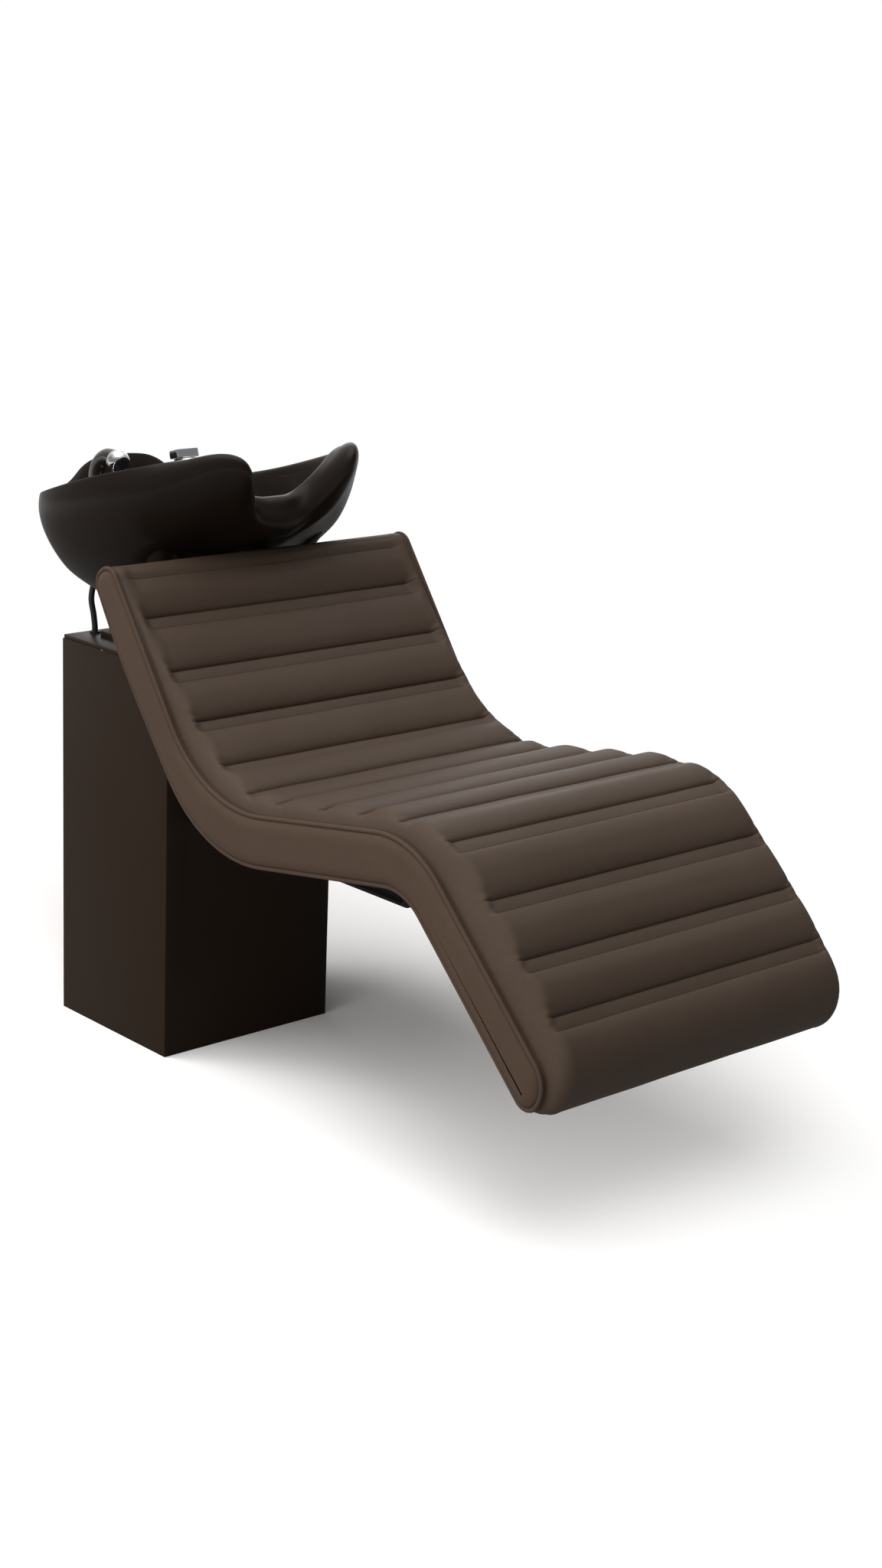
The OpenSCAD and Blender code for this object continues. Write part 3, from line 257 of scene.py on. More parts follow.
# For each look: the function that makes it, its slot in the record, and the values it is made with
lookTable = {
    "padCloth": (coatedCloth, "upholstery", (0.068, 0.047, 0.034), (0.080, 0.057, 0.043)),
    "borderCloth": (coatedCloth, "upholstery", (0.068, 0.043, 0.030), (0.078, 0.051, 0.036)),
    "stitchThread": (thread, "upholstery", (0.030, 0.022, 0.018)),
    "columnPaint": (powderCoat, "column_paint", (0.023, 0.0145, 0.0095)),
    "blackSteel": (powderCoat, "black_steel", (0.014, 0.0115, 0.010), 0.42),
    "chrome": (polishedChrome, "chrome"),
    "bareSteel": (plainSteel, "bare_steel"),
    "brass": (plainSteel, "brass", (0.55, 0.38, 0.16), 0.3),
    "castIron": (castIron, "cast_iron"),
    "plywood": (birchPly, "plywood"),
    "ceramic": (glazedCeramic, "glazed_ceramic"),
    "blackPlastic": (moulded, "black_plastic", (0.018, 0.018, 0.018), 0.45),
    "greyPlastic": (moulded, "grey_plastic", (0.42, 0.42, 0.41), 0.3),
    "redPlastic": (moulded, "red_plastic", (0.33, 0.02, 0.015), 0.3),
    "bluePlastic": (moulded, "blue_plastic", (0.015, 0.06, 0.30), 0.3),
    "rubber": (moulded, "black_rubber", (0.012, 0.012, 0.012), 0.36, 0.0003),
    "handleLacquer": (moulded, "bronze_gloss", (0.016, 0.012, 0.009), 0.2, 0.00003, 0.8),
    "sprayFace": (moulded, "smoked_face", (0.02, 0.02, 0.021), 0.16, 0.00003, 0.6),
    "steelBraid": (braid, "braided_hose", (0.5, 0.5, 0.52), 26, 900, 0.9),
}
looks = {name: Shader(name) for name in lookTable}
for name, (make, slot, *values) in lookTable.items():
    make(looks[name], *values)
print("stage: materials ready")


# A piece from its mesh, with its look, the body that it rides on and the CAD nodes that it replaces
def finishPiece(name, mesh, look, body, replaced=(), sharp=35, slot=None):
    if isinstance(mesh, bmesh.types.BMesh):
        mesh = toMesh(name, mesh)
    mesh.polygons.foreach_set("use_smooth", [True] * len(mesh.polygons))
    mesh.set_sharp_from_angle(angle=radians(sharp))
    mesh.materials.clear()
    mesh.materials.append(looks[look].material)
    piece = placed(name, mesh)
    if body:
        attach(piece, body)
    slot = slot or lookTable[look][1]
    if replaced:
        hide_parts(*replaced)
    return piece


# Rings of equal count joined into a skin, capped unless closed; mm in the lists, metres in the mesh
def loft(rings, closed=False):
    bm = bmesh.new()
    order = bm.verts.layers.int.new("order")
    count = len(rings[0])
    for i, point in enumerate(rings[0]):
        bm.verts.new(Vector(point) * mm)[order] = i
    bm.verts.ensure_lookup_table()
    edges = [bm.edges.new((bm.verts[i], bm.verts[(i + 1) % count])) for i in range(count)]
    if not closed:
        bmesh.ops.contextual_create(bm, geom=edges)
    for ring in rings[1:] + ([rings[0]] if closed else []):
        made = bmesh.ops.extrude_edge_only(bm, edges=edges)["geom"]
        fresh = {g for g in made if isinstance(g, bmesh.types.BMVert)}
        for vert in fresh:
            vert.co = Vector(ring[vert[order]]) * mm
        edges = [g for g in made if isinstance(g, bmesh.types.BMEdge) and set(g.verts) <= fresh]
    if not closed:
        bmesh.ops.contextual_create(bm, geom=edges)
    bmesh.ops.remove_doubles(bm, verts=bm.verts[:], dist=1e-6)
    bmesh.ops.recalc_face_normals(bm, faces=bm.faces[:])
    return bm


# A profile of (radius, height) pairs turned about an axis through place, along direction
def turned(profile, place, direction=(0, 0, 1), steps=64, bm=None):
    bm = bm or bmesh.new()
    verts = [bm.verts.new((r * mm, 0, h * mm)) for r, h in profile]
    edges = [bm.edges.new(pair) for pair in zip(verts, verts[1:])]
    before = set(bm.verts) - set(verts)
    bmesh.ops.spin(bm, geom=verts + edges, cent=(0, 0, 0), axis=(0, 0, 1), angle=2 * pi,
                   steps=steps, use_merge=True)
    fresh = [v for v in bm.verts if v not in before]
    bmesh.ops.remove_doubles(bm, verts=fresh, dist=1e-6)
    fresh = [v for v in bm.verts if v not in before]
    turn = Vector((0, 0, 1)).rotation_difference(Vector(direction)).to_matrix().to_4x4()
    bmesh.ops.transform(bm, matrix=Matrix.Translation(Vector(place) * mm) @ turn, verts=fresh)
    bmesh.ops.recalc_face_normals(bm, faces=bm.faces[:])
    return bm


# The same profile at several places, in one mesh
def turnedAt(places, profile, direction, steps):
    bm = bmesh.new()
    for place in places:
        turned(profile, place, direction, steps, bm)
    return bm


# A smooth curve through four points, from b at 0 to c at 1
def blend4(a, b, c, d, t):
    return (b * 2 + (c - a) * t + (a * 2 - b * 5 + c * 4 - d) * t * t + (b * 3 - a - c * 3 + d) * t ** 3) / 2


# The same through all the key points, with per steps from each to the next
def route(keys, per):
    keys = [Vector(k) for k in keys]
    last = len(keys) - 1
    path = [blend4(keys[max(0, i - 1)], keys[i], keys[i + 1], keys[min(last, i + 2)], j / per)
            for i in range(last) for j in range(per)]
    return path + [keys[-1]]


# Rings of a round tube along a path, carried without twist; radius may be a function of the share
def tubeRings(path, radius, sides, closed=False):
    count = len(path)
    rings, side = [], None
    for i, point in enumerate(path):
        before = path[i - 1] if closed or i else point
        after = path[(i + 1) % count] if closed or i < count - 1 else point
        along = (after - before).normalized()
        side = (side or Vector((0.15, 1, 0.1))).cross(along).cross(along).normalized() * -1
        other = along.cross(side)
        r = radius(i / (count - 1)) if callable(radius) else radius
        rings.append([point + (side * cos(a) + other * sin(a)) * r
                      for a in (2 * pi * k / sides for k in range(sides))])
    return rings


# A rigid CAD node copied, merged and given the small rounded edges that a real part has
def softened(node, look, width, segments=2, name=None):
    bm = bmesh.new()
    bm.from_mesh(frame["nodes"][node].data)
    bmesh.ops.remove_doubles(bm, verts=bm.verts[:], dist=1e-5)
    bmesh.ops.dissolve_limit(bm, angle_limit=radians(1), verts=bm.verts[:], edges=bm.edges[:])
    edges = [e for e in bm.edges if len(e.link_faces) == 2 and e.calc_face_angle(0) > radians(28)]
    bmesh.ops.bevel(bm, geom=edges, offset=width * mm, affect="EDGES", segments=segments, profile=0.5,
                    material=-1, clamp_overlap=True)
    body = next(b for b, nodes in frame["record"]["behaviour"]["bodies"].items() if node in nodes)
    finishPiece(name or "soft_" + node, bm, look, body, [node])


def eased(low, high, value):
    t = min(1, max(0, (value - low) / (high - low)))
    return t * t * (3 - 2 * t)


# Lounger: the outline's corners and the swell of the pad, in mm and degrees as in the construction
lounger = {
    "width": 600, "creaseY": 410, "creaseZ": 510,
    "backAngle": 54, "seatAngle": 9.4, "legAngle": 44,
    "backLength": 413, "seatLength": 474, "legLength": 403,
    "backThick": 52, "seatThick": 77, "legThick": 69,
    "padThick": 23, "backCrown": 26, "seatCrown": 32, "legCrown": 49,
    "border": 8.5, "clear": 0.3, "panel": 6,
    # the rear of the back is one long bow: a point of it, and its lean
    "bowAlong": 280, "bowOut": 10, "bowLean": 2.5, "footTaper": 0.95,
    "radii": (224, 158, 44, 24, 87, 239, 1300),  # crease, knee, foot, and back along the rear
}
n = lounger


# Below, an outline is a list of pairs: a place and the way out of the lounger, both as (y, z)
def aim(angle):
    return Vector((cos(radians(angle)), sin(radians(angle))))


def meet(a, u, b, v):
    return a + u * ((b - a).cross(v) / u.cross(v))


def cornerArc(corners, i, radius):
    b = corners[i]
    u = (corners[i - 1] - b).normalized()
    v = (corners[(i + 1) % len(corners)] - b).normalized()
    half = acos(max(-1, min(1, u.dot(v)))) / 2
    hub = b + (u + v).normalized() * (radius / sin(half))
    turn = 1 if (-u).cross(v) > 0 else -1
    sweep = pi - 2 * half
    steps = max(6, ceil(degrees(sweep) / (2 if radius > 70 else 6)))
    first = b + u * (radius / tan(half)) - hub
    arc = []
    for j in range(steps + 1):
        ray = Matrix.Rotation(turn * sweep * j / steps, 2) @ first
        arc.append((hub + ray, ray * turn / radius))
    return arc


def outlineArcs():
    crease = Vector((-n["creaseY"], n["creaseZ"]))
    back, seat, leg = aim(n["backAngle"]), aim(180 - n["seatAngle"]), aim(180 + n["legAngle"])
    backIn = Vector((back.y, -back.x))
    seatIn, legIn = Vector((-seat.y, seat.x)), Vector((-leg.y, leg.x))
    topFront = crease + back * n["backLength"]
    knee = crease + seat * n["seatLength"]
    footFront = knee + leg * n["legLength"]
    footRear = footFront + legIn * n["legThick"] * n["footTaper"]
    bow = crease + back * n["bowAlong"] + backIn * (n["backThick"] + n["bowOut"])
    kneeRear = meet(footRear, leg, crease + seatIn * n["seatThick"], seat)
    creaseRear = meet(bow, aim(n["backAngle"] - n["bowLean"]), crease + seatIn * n["seatThick"], seat)
    end = n["backThick"] / 2 - 1
    corners = [topFront + backIn * n["backThick"], topFront, crease, knee, footFront, footRear,
               kneeRear, creaseRear, bow]
    return [cornerArc(corners, i, r) for i, r in enumerate((end - 1, end, *n["radii"]))]


arcs = outlineArcs()
wholeEdge = [e for arc in arcs for e in arc]
frontEdge = [e for arc in arcs[:6] for e in arc]
rearEdge = arcs[5][-1:] + arcs[6] + arcs[7] + arcs[8] + arcs[0][:1]


# An outline that is read by the distance along it
class EdgeRun:
    def __init__(self, edge):
        self.edge, self.run = edge, [0]
        for a, b in zip(edge, edge[1:]):
            self.run.append(self.run[-1] + (b[0] - a[0]).length)
        self.end = self.run[-1]

    def at(self, s):
        s = min(self.end, max(0, s))
        i = max(0, bisect.bisect_left(self.run, s) - 1)
        t = (s - self.run[i]) / max(1e-6, self.run[i + 1] - self.run[i])
        a, b = self.edge[i], self.edge[i + 1]
        return a[0].lerp(b[0], t), a[1].lerp(b[1], t).normalized()


front = EdgeRun(frontEdge)
frontStart = EdgeRun([e for arc in arcs[:2] for e in arc]).end


# Swell of the rolls' crests, by the distance below the top end and above the foot end
crownMarks = [(0, 0), (frontStart, 2)]
for below, crown, share in ((110, "backCrown", 0.45), (200, "backCrown", 1), (280, "seatCrown", 1.16),
                            (360, "seatCrown", 1.2), (600, "seatCrown", 0.97), (780, "seatCrown", 1)):
    crownMarks.append((frontStart + below, n[crown] * share))
for left, share in ((390, 1.08), (210, 1.16), (120, 1.02), (65, 0.56), (30, 0.28), (0, 0)):
    crownMarks.append((front.end - left, n["legCrown"] * share))


# A table of (place, value) marks read with smooth slopes and no overshoot
def smoothTable(marks):
    steps = [(b[1] - a[1]) / (b[0] - a[0]) for a, b in zip(marks, marks[1:])]
    inside = [0 if a * b <= 0 else 2 * a * b / (a + b) for a, b in zip(steps, steps[1:])]
    slopes = [steps[0], *inside, steps[-1]]

    def read(x):
        x = min(marks[-1][0], max(marks[0][0], x))
        i = max(k for k in range(len(marks) - 1) if marks[k][0] <= x)
        w = marks[i + 1][0] - marks[i][0]
        t = (x - marks[i][0]) / w
        return (marks[i][1] * (1 + 2 * t) * (1 - t) ** 2 + marks[i + 1][1] * t * t * (3 - 2 * t)
                + slopes[i] * w * t * (1 - t) ** 2 - slopes[i + 1] * w * t * t * (1 - t))
    return read


crownAt = smoothTable(crownMarks)

pad = {
    "columns": 104,
    "row": 6,  # longest step of the mesh along the pad
    # places of the creases below the top end; the first lies over the rounded end
    "channels": [-14, 71, 167, 258, 354, 440, 514, 612, 700, 785, 862, 956, 1050, 1136],
    "depth": 18,  # crease below the crest of its roll
    "strip": 21,  # flat strip sewn below each crease
    "fall": 54,  # length over which a roll curves down into its crease
    "lift": 34,  # length over which a roll rises from its lower seam
    # shares of the depth: the strip's top, lost by its foot, pinch of its seam, bulge of the strip
    "stripShares": (0.86, 0.1, 0.14, 0.05),
    "liftShares": (0.46, 0.3),  # the roll's start below the strip, and the pinch of that seam
    "topShares": (0.32, 90),  # the first creases are shallower, growing over this length
    "fadeFrom": 10,  # channels die out towards the sides
    "fadeTo": 32,
    "seatOut": 8,  # on the seat they run out nearer to the piping
    "seatRun": (380, 460, 790, 850),  # where that comes and where it goes, below the top end
    "lip": 4,  # flat margin beside the piping
    "shoulder": 30,  # from the margin to the full swell
    "pucker": 1.6,  # depth of the small folds at a crease's ends
    "puckerAside": 22,  # and their distance from the piping
    "puckerReach": 40,
    "puckerWide": (11, 4.5),  # how wide they are across the pad and along it
    "puckerLines": ((1, 0.42), (-1, -0.34)),  # the two folds of each end: side of the crease, slope
    "rounding": (1.8, 2.3),  # how full a roll falls into its crease, and the swell begins at the sides
    "loose": 0.9,  # gentle unevenness of the cover
    "slack": 4,  # how far the rolls are lowered before the cover is blown out
    "heldAside": 12,  # the seams are held down to here from the piping
    "heldEnd": 40,  # and all the cover is held at both its ends
    "swell": 10,  # furthest that the cloth may blow out
    "pressure": 4,
    "frames": 20,
}
padHalf = n["width"] / 2 - n["border"] - n["clear"]
creases = [frontStart + c for c in pad["channels"]]


# Rows of the pad's mesh: close together at each crease and seam, at most pad["row"] apart elsewhere
def padRows():
    close = [-30, -22, -15, -10, -7, -4.5, -2.5, -1.2, -0.4, 0.4, 1.2, 2.5, 5, 9, 13]
    close += [pad["strip"] + d for d in (-2, -0.8, 0, 0.8, 2, 4, 7, 11, 16)]
    marks = sorted({0.0, front.end} | {c + d for c in creases for d in close if c + d < front.end})
    rows = []
    for a, b in zip(marks, marks[1:]):
        count = ceil((b - a) / pad["row"])
        rows += [a + (b - a) * k / count for k in range(count)]
    return rows + [front.end]


# Depth of the surface below the roll's crest at distance s, as a share of the channel's depth
def channelShare(s):
    above = max((c for c in creases if c <= s), default=None)
    below = min((c for c in creases if c > s), default=None)
    share = 0.0
    top, lost, pinch, bulge = pad["stripShares"]
    if below is not None and below - s < pad["fall"]:
        t = 1 - (below - s) / pad["fall"]
        share = 1 - sqrt(max(0, 1 - t ** pad["rounding"][0]))
    if above is not None:
        past = s - above
        if past <= pad["strip"]:
            t = past / pad["strip"]
            along = top - lost * t + pinch * exp(-past / 1.2) - bulge * sin(pi * t)
            share = max(share, along)
        elif past < pad["strip"] + pad["lift"]:
            t = (past - pad["strip"]) / pad["lift"]
            foot, pinch = pad["liftShares"]
            share = max(share, foot * (1 - t) ** 2 + pinch * exp(-t * 22))
    first, grows = pad["topShares"]
    return share * min(1, first + (s - creases[0]) / grows)


# The cover's place at distance s along the front and x across; slack lowers the rolls
def padSurface(s, x, slack=0.0):
    point, out = front.at(s)
    aside = padHalf - abs(x)
    crown = crownAt(s)
    reach = min(1, max(0, (aside - pad["lip"]) / pad["shoulder"]))
    swell = sqrt(max(0, 1 - (1 - reach) ** pad["rounding"][1]))
    comes, full, goes, gone = pad["seatRun"]
    seatOut = eased(comes, full, s - frontStart) * (1 - eased(goes, gone, s - frontStart))
    outward = aside + pad["seatOut"] * seatOut
    fade = eased(pad["fadeFrom"], pad["fadeTo"], outward) * min(1, (crown + 1) / 4)
    share = channelShare(s)
    height = crown * swell - pad["depth"] * share * fade
    height -= slack * (1 - share) ** 2 * reach * min(1, crown / 8)
    wide, long = pad["puckerWide"]
    ends = exp(-((aside - pad["puckerAside"]) / wide) ** 2) * min(1, crown / 6)
    if ends > 0.02:
        for i, crease in enumerate(creases):
            if abs(s - crease) < pad["puckerReach"]:
                for k, slope in pad["puckerLines"]:
                    wander = k * 4 + 2 * sin(i * 2.3 + k)
                    line = crease + wander + slope * (pad["puckerReach"] - aside)
                    height -= pad["pucker"] * ends * exp(-((s - line) / long) ** 2)
    loose = noise.noise(Vector((x * 0.011, s * 0.02, 3.1))) * pad["loose"]
    height += loose * reach * min(1, crown / 8)
    return Vector((x, *(point + out * height))) * mm


# A flat grid whose points know their place across the lounger, and along its outline by rows
def sheetGrid(rows, columns):
    bm = bmesh.new()
    bmesh.ops.create_grid(bm, x_segments=columns, y_segments=len(rows) - 1, size=1)
    across = bm.verts.layers.float.new("across")
    along = bm.verts.layers.float.new("along")
    for vert in bm.verts:
        vert[across] = padHalf * (1.5 * vert.co.x - 0.5 * vert.co.x ** 3)
        vert[along] = rows[round((1 - vert.co.y) / 2 * (len(rows) - 1))]
    return bm, across, along


# The sheet's faces lifted off as a second sheet, joined to the first round the edge: the points of both
def doubled(bm):
    lower = bm.verts[:]
    made = bmesh.ops.extrude_face_region(bm, geom=bm.faces[:])["geom"]
    return [g for g in made if isinstance(g, bmesh.types.BMVert)], [v for v in lower if v.is_valid]


# The cover is blown out as cloth, by a millimetre or so, between its seams, which are held as sewn
def blownCover(rows):
    bm, across, along = sheetGrid(rows, pad["columns"])
    for vert in bm.verts:
        vert.co = padSurface(vert[along], vert[across], pad["slack"])
    bm.normal_update()
    if sum(f.normal.z for f in bm.faces) < 0:
        bmesh.ops.reverse_faces(bm, faces=bm.faces[:])
    held = []
    for i, vert in enumerate(bm.verts):
        aside = padHalf - abs(vert[across])
        s = vert[along]
        seam = any(-1.3 < s - c < pad["strip"] + 1 for c in creases) and aside > pad["heldAside"]
        if seam or aside < pad["lip"] + 1 or min(s, front.end - s) < pad["heldEnd"]:
            held.append(i)
    cover = placed("cover", toMesh("cover", bm))
    start = [v.co.copy() for v in cover.data.vertices]
    cover.vertex_groups.new(name="held").add(held, 1, "REPLACE")
    cloth = cover.modifiers.new("cloth", "CLOTH").settings
    cloth.quality = 4
    cloth.mass = 0.3
    cloth.tension_stiffness = cloth.compression_stiffness = 15
    cloth.shear_stiffness = 8
    cloth.bending_stiffness = 12
    cloth.use_pressure = True
    cloth.uniform_pressure_force = pad["pressure"]
    cloth.vertex_group_mass = "held"
    cloth.effector_weights.gravity = 0
    for step in range(1, pad["frames"] + 1):
        scene.frame_set(step)
    blown = cover.evaluated_get(bpy.context.evaluated_depsgraph_get()).data
    places = []
    for before, vert in zip(start, blown.vertices):
        move = vert.co - before
        if move.length > pad["swell"] * mm:
            move *= pad["swell"] * mm / move.length
        places.append(before + move)
    moves = [(a - b).length / mm for a, b in zip(places, start)]
    print("stage: cover blown out by up to %.1f mm, mean %.1f mm" % (max(moves), sum(moves) / len(moves)))
    bpy.data.objects.remove(cover)
    scene.frame_set(1)
    return places


def makePad():
    rows = padRows()
    places = blownCover(rows)
    bm, across, along = sheetGrid(rows, pad["columns"])
    rank = bm.verts.layers.int.new("rank")
    for i, vert in enumerate(bm.verts):
        vert[rank] = i
    top, bottom = doubled(bm)
    for vert in top:
        vert.co = places[vert[rank]] if places else padSurface(vert[along], vert[across])
    for vert in bottom:
        point, out = front.at(vert[along])
        vert.co = Vector((vert[across], *(point - out * n["padThick"]))) * mm
    bmesh.ops.recalc_face_normals(bm, faces=bm.faces[:])
    piece = finishPiece("channelledPad", bm, "padCloth", "unit", ["seat_pad"], 60)


# Side borders: rings of (inset from the outline, distance out from the lounger's middle)
borderRings = [(3.5, 291.6), (3.6, 294.5), (4.4, 296.8), (6, 298.6), (8.5, 300.2), (12, 301.7),
               (15.5, 302.6), (19.5, 303), (23.5, 303.1)]


def makeBorders():
    for side, name in ((-1, "left"), (1, "right")):
        rings = [[(side * x, *(p - out * inset)) for p, out in wholeEdge] for inset, x in borderRings]
        piece = finishPiece("border_" + name + "_panel", loft(rings), "borderCloth", "unit",
                            ["border_" + name], 50)


piping = {"radius": 3.5, "sink": 1.0, "sides": 16, "inward": 0.75}


def makePiping():
    x = n["width"] / 2 - n["border"] / 2 - piping["inward"]
    for side, name in ((-1, "left"), (1, "right")):
        path = [Vector((side * x, *(p - out * piping["sink"]))) for p, out in wholeEdge]
        path = [p for i, p in enumerate(path) if (p - path[i - 1]).length > 1e-3]
        rings = tubeRings(path, piping["radius"], piping["sides"], closed=True)
        piece = finishPiece("piping_" + name + "_cord", loft(rings, closed=True), "borderCloth", "unit",
                            ["piping_" + name], 60)


# Short stitches: a row on the pad beside each run of piping, and one along each strip's lower seam
stitches = {"pitch": 6, "length": 3.4, "width": 0.8, "rise": 0.45, "besidePiping": 2.6,
            "aboveSeam": 1.4, "endsBefore": 22}


def addStitch(bm, place, ahead, out):
    made = bmesh.ops.create_icosphere(bm, subdivisions=1, radius=0.5)["verts"]
    axes = Matrix((ahead.cross(out), ahead, out)).transposed().to_4x4()
    sizes = (stitches["width"], stitches["length"], stitches["rise"] * 2, 1)
    spot = Matrix.Translation(place) @ Matrix.Scale(mm, 4)
    bmesh.ops.transform(bm, matrix=spot @ axes @ Matrix.Diagonal(sizes), verts=made)


def makeStitches():
    bm = bmesh.new()
    for k in range(int(front.end / stitches["pitch"])):
        s = (k + 0.5) * stitches["pitch"]
        out = Vector((0, *front.at(s)[1]))
        ahead = Vector((0, *(front.at(s + 1)[0] - front.at(s - 1)[0]))).normalized()
        for side in (-1, 1):
            addStitch(bm, padSurface(s, side * (padHalf - stitches["besidePiping"])), ahead, out)
    finishPiece("pipingStitches", bm, "stitchThread", "unit", sharp=180)
    bm = bmesh.new()
    reach = padHalf - stitches["endsBefore"]
    for crease in creases:
        s = crease + pad["strip"] - stitches["aboveSeam"]
        out = Vector((0, *front.at(s)[1]))
        for k in range(int(2 * reach / stitches["pitch"])):
            place = padSurface(s, -reach + (k + 0.5) * stitches["pitch"])
            addStitch(bm, place, Vector((1, 0, 0)), out)
    finishPiece("channelStitches", bm, "stitchThread", "unit", sharp=180)


# Underside: a covered board that follows the rear of the outline, its cover raised inside its edge
underside = {"columns": 24, "rows": 180, "margin": 2, "shoulder": 30, "rise": 1.8}


def makeUnderPanel():
    u = underside
    rear = EdgeRun(rearEdge)
    length = rear.end - 2 * u["margin"]
    rows = [u["margin"] + length * (1 - k / u["rows"]) for k in range(u["rows"] + 1)]
    bm, across, along = sheetGrid(rows, u["columns"])
    outer, inner = doubled(bm)
    for verts in (outer, inner):
        for vert in verts:
            point, out = rear.at(vert[along])
            aside = padHalf - abs(vert[across])
            full = min(1, max(0, min(aside, vert[along], rear.end - vert[along])) / u["shoulder"])
            rise = u["rise"] * (1 - (1 - full) ** 3) if verts is outer else -n["panel"]
            vert.co = Vector((vert[across], *(point + out * rise))) * mm
    bmesh.ops.recalc_face_normals(bm, faces=bm.faces[:])
    piece = finishPiece("underPanel", bm, "borderCloth", "unit", ["back_panel"], 50)


makeCamera()
makePad()
makeBorders()
makePiping()
makeStitches()
makeUnderPanel()
print("stage: lounger made")


# Basin frame: x across, v back along the rim plane, w square to it; rimZ is over the column's middle
column = {"width": 343, "depth": 296, "height": 658, "top": 6}
tilt = radians(17)
rimZ = column["height"] + 282
basinTurn = Matrix.Rotation(-tilt, 4, "X")
upBasin = basinTurn @ Vector((0, 0, 1))


def toWorld(x, v, w):
    return Vector((x, cos(tilt) * v + sin(tilt) * w,
                   rimZ - sin(tilt) * v + cos(tilt) * w))


basin = {
    "rim": [(0, -168, -1), (30, -169, -0.985), (56, -175, -0.83), (80, -182, -0.6), (104, -184, -0.36),
            (128, -178, -0.14), (154, -168, -0.03), (184, -147, 0), (214, -108, 0), (232, -50, 2),
            (239, 25, 2), (232, 100, 2), (208, 160, 4), (174, 202, 8), (136, 217, 13.5), (106, 220, 26),
            (82, 220, 46), (56, 219, 58.5), (26, 219, 62.5), (0, 219, 63.5)],
    "notch": 70, "depth": 212, "foot": 95, "footV": 40, "deck": 9,
    "drainV": 60, "drain": 23, "sump": 36, "floor": -190, "tail": -238,
    # angles from the neck notch round to the rear at 180: the notch's reach, each lobe's middle and its
    # reach before and behind it, and where the front of the foot, the rear and front of the bowl go over
    "notchAngle": 16, "lobeAngles": (28, 10, 15), "foreAngles": (40, 125), "rearAngles": (118, 140),
    "leadAngles": (35, 60),
    # outside rings below the rim, as (out, up)
    "notchRings": [(0, 0), (14, 1), (27, -7), (28, -28), (31, -40), (26, -62)],
    "lobeRings": [(0, 0), (12, 5), (28, 6), (54, 15), (84, 11), (84, -18)],
    "sideRings": [(0, 0), (2, 0), (4, -4), (6, -10), (9, -22), (10, -45)],
    # then down to the foot, as shares kept of x and v, and share fallen
    "notchFall": [(0.88, 0.72, 0.03), (0.76, 0.45, 0.05), (0.62, 0.3, 0.07), (0.45, 0.17, 0.2),
                  (0.25, 0.05, 0.6), (0.1, 0.01, 0.85), (0, 0, 1)],
    "frontFall": [(0.96, 0.86, 0.2), (0.87, 0.64, 0.42), (0.74, 0.37, 0.53), (0.57, 0.18, 0.64),
                  (0.4, 0.05, 0.82), (0.2, 0.01, 0.95), (0, 0, 1)],
    "sideFall": [(0.955, 0.955, 0.2), (0.85, 0.85, 0.42), (0.76, 0.76, 0.54), (0.61, 0.61, 0.67),
                 (0.42, 0.42, 0.82), (0.2, 0.2, 0.95), (0, 0, 1)],
    # inside, as share of the reach from the drain, share of the rim's height, height
    "frontBowl": [(0.98, 1, -3), (0.965, 1, -9), (0.94, 1, -20), (0.9, 1, -30), (0.84, 0.9, -46),
                  (0.75, 0.7, -67), (0.6, 0.3, -109), (0.4, 0, -180)],
    "sideBowl": [(0.975, 1, -3), (0.955, 1, -14), (0.93, 1, -45), (0.9, 0.9, -80), (0.85, 0.7, -115),
                 (0.77, 0.4, -145), (0.62, 0.2, -170), (0.4, 0, -184)],
    "rearBowl": [(0.975, 0.75, -2), (0.945, 0.25, -6), (0.915, 0, -9), (0.56, 0, -9), (0.53, 0, -18),
                 (0.5, 0, -75), (0.45, 0, -145), (0.36, 0, -180)],
}


# Row k of several tables, mixed by the share that each has
def mixed(k, shares):
    rows = [(share, basin[table][k]) for table, share in shares.items()]
    return [sum(share * row[j] for share, row in rows) for j in range(len(rows[0][1]))]


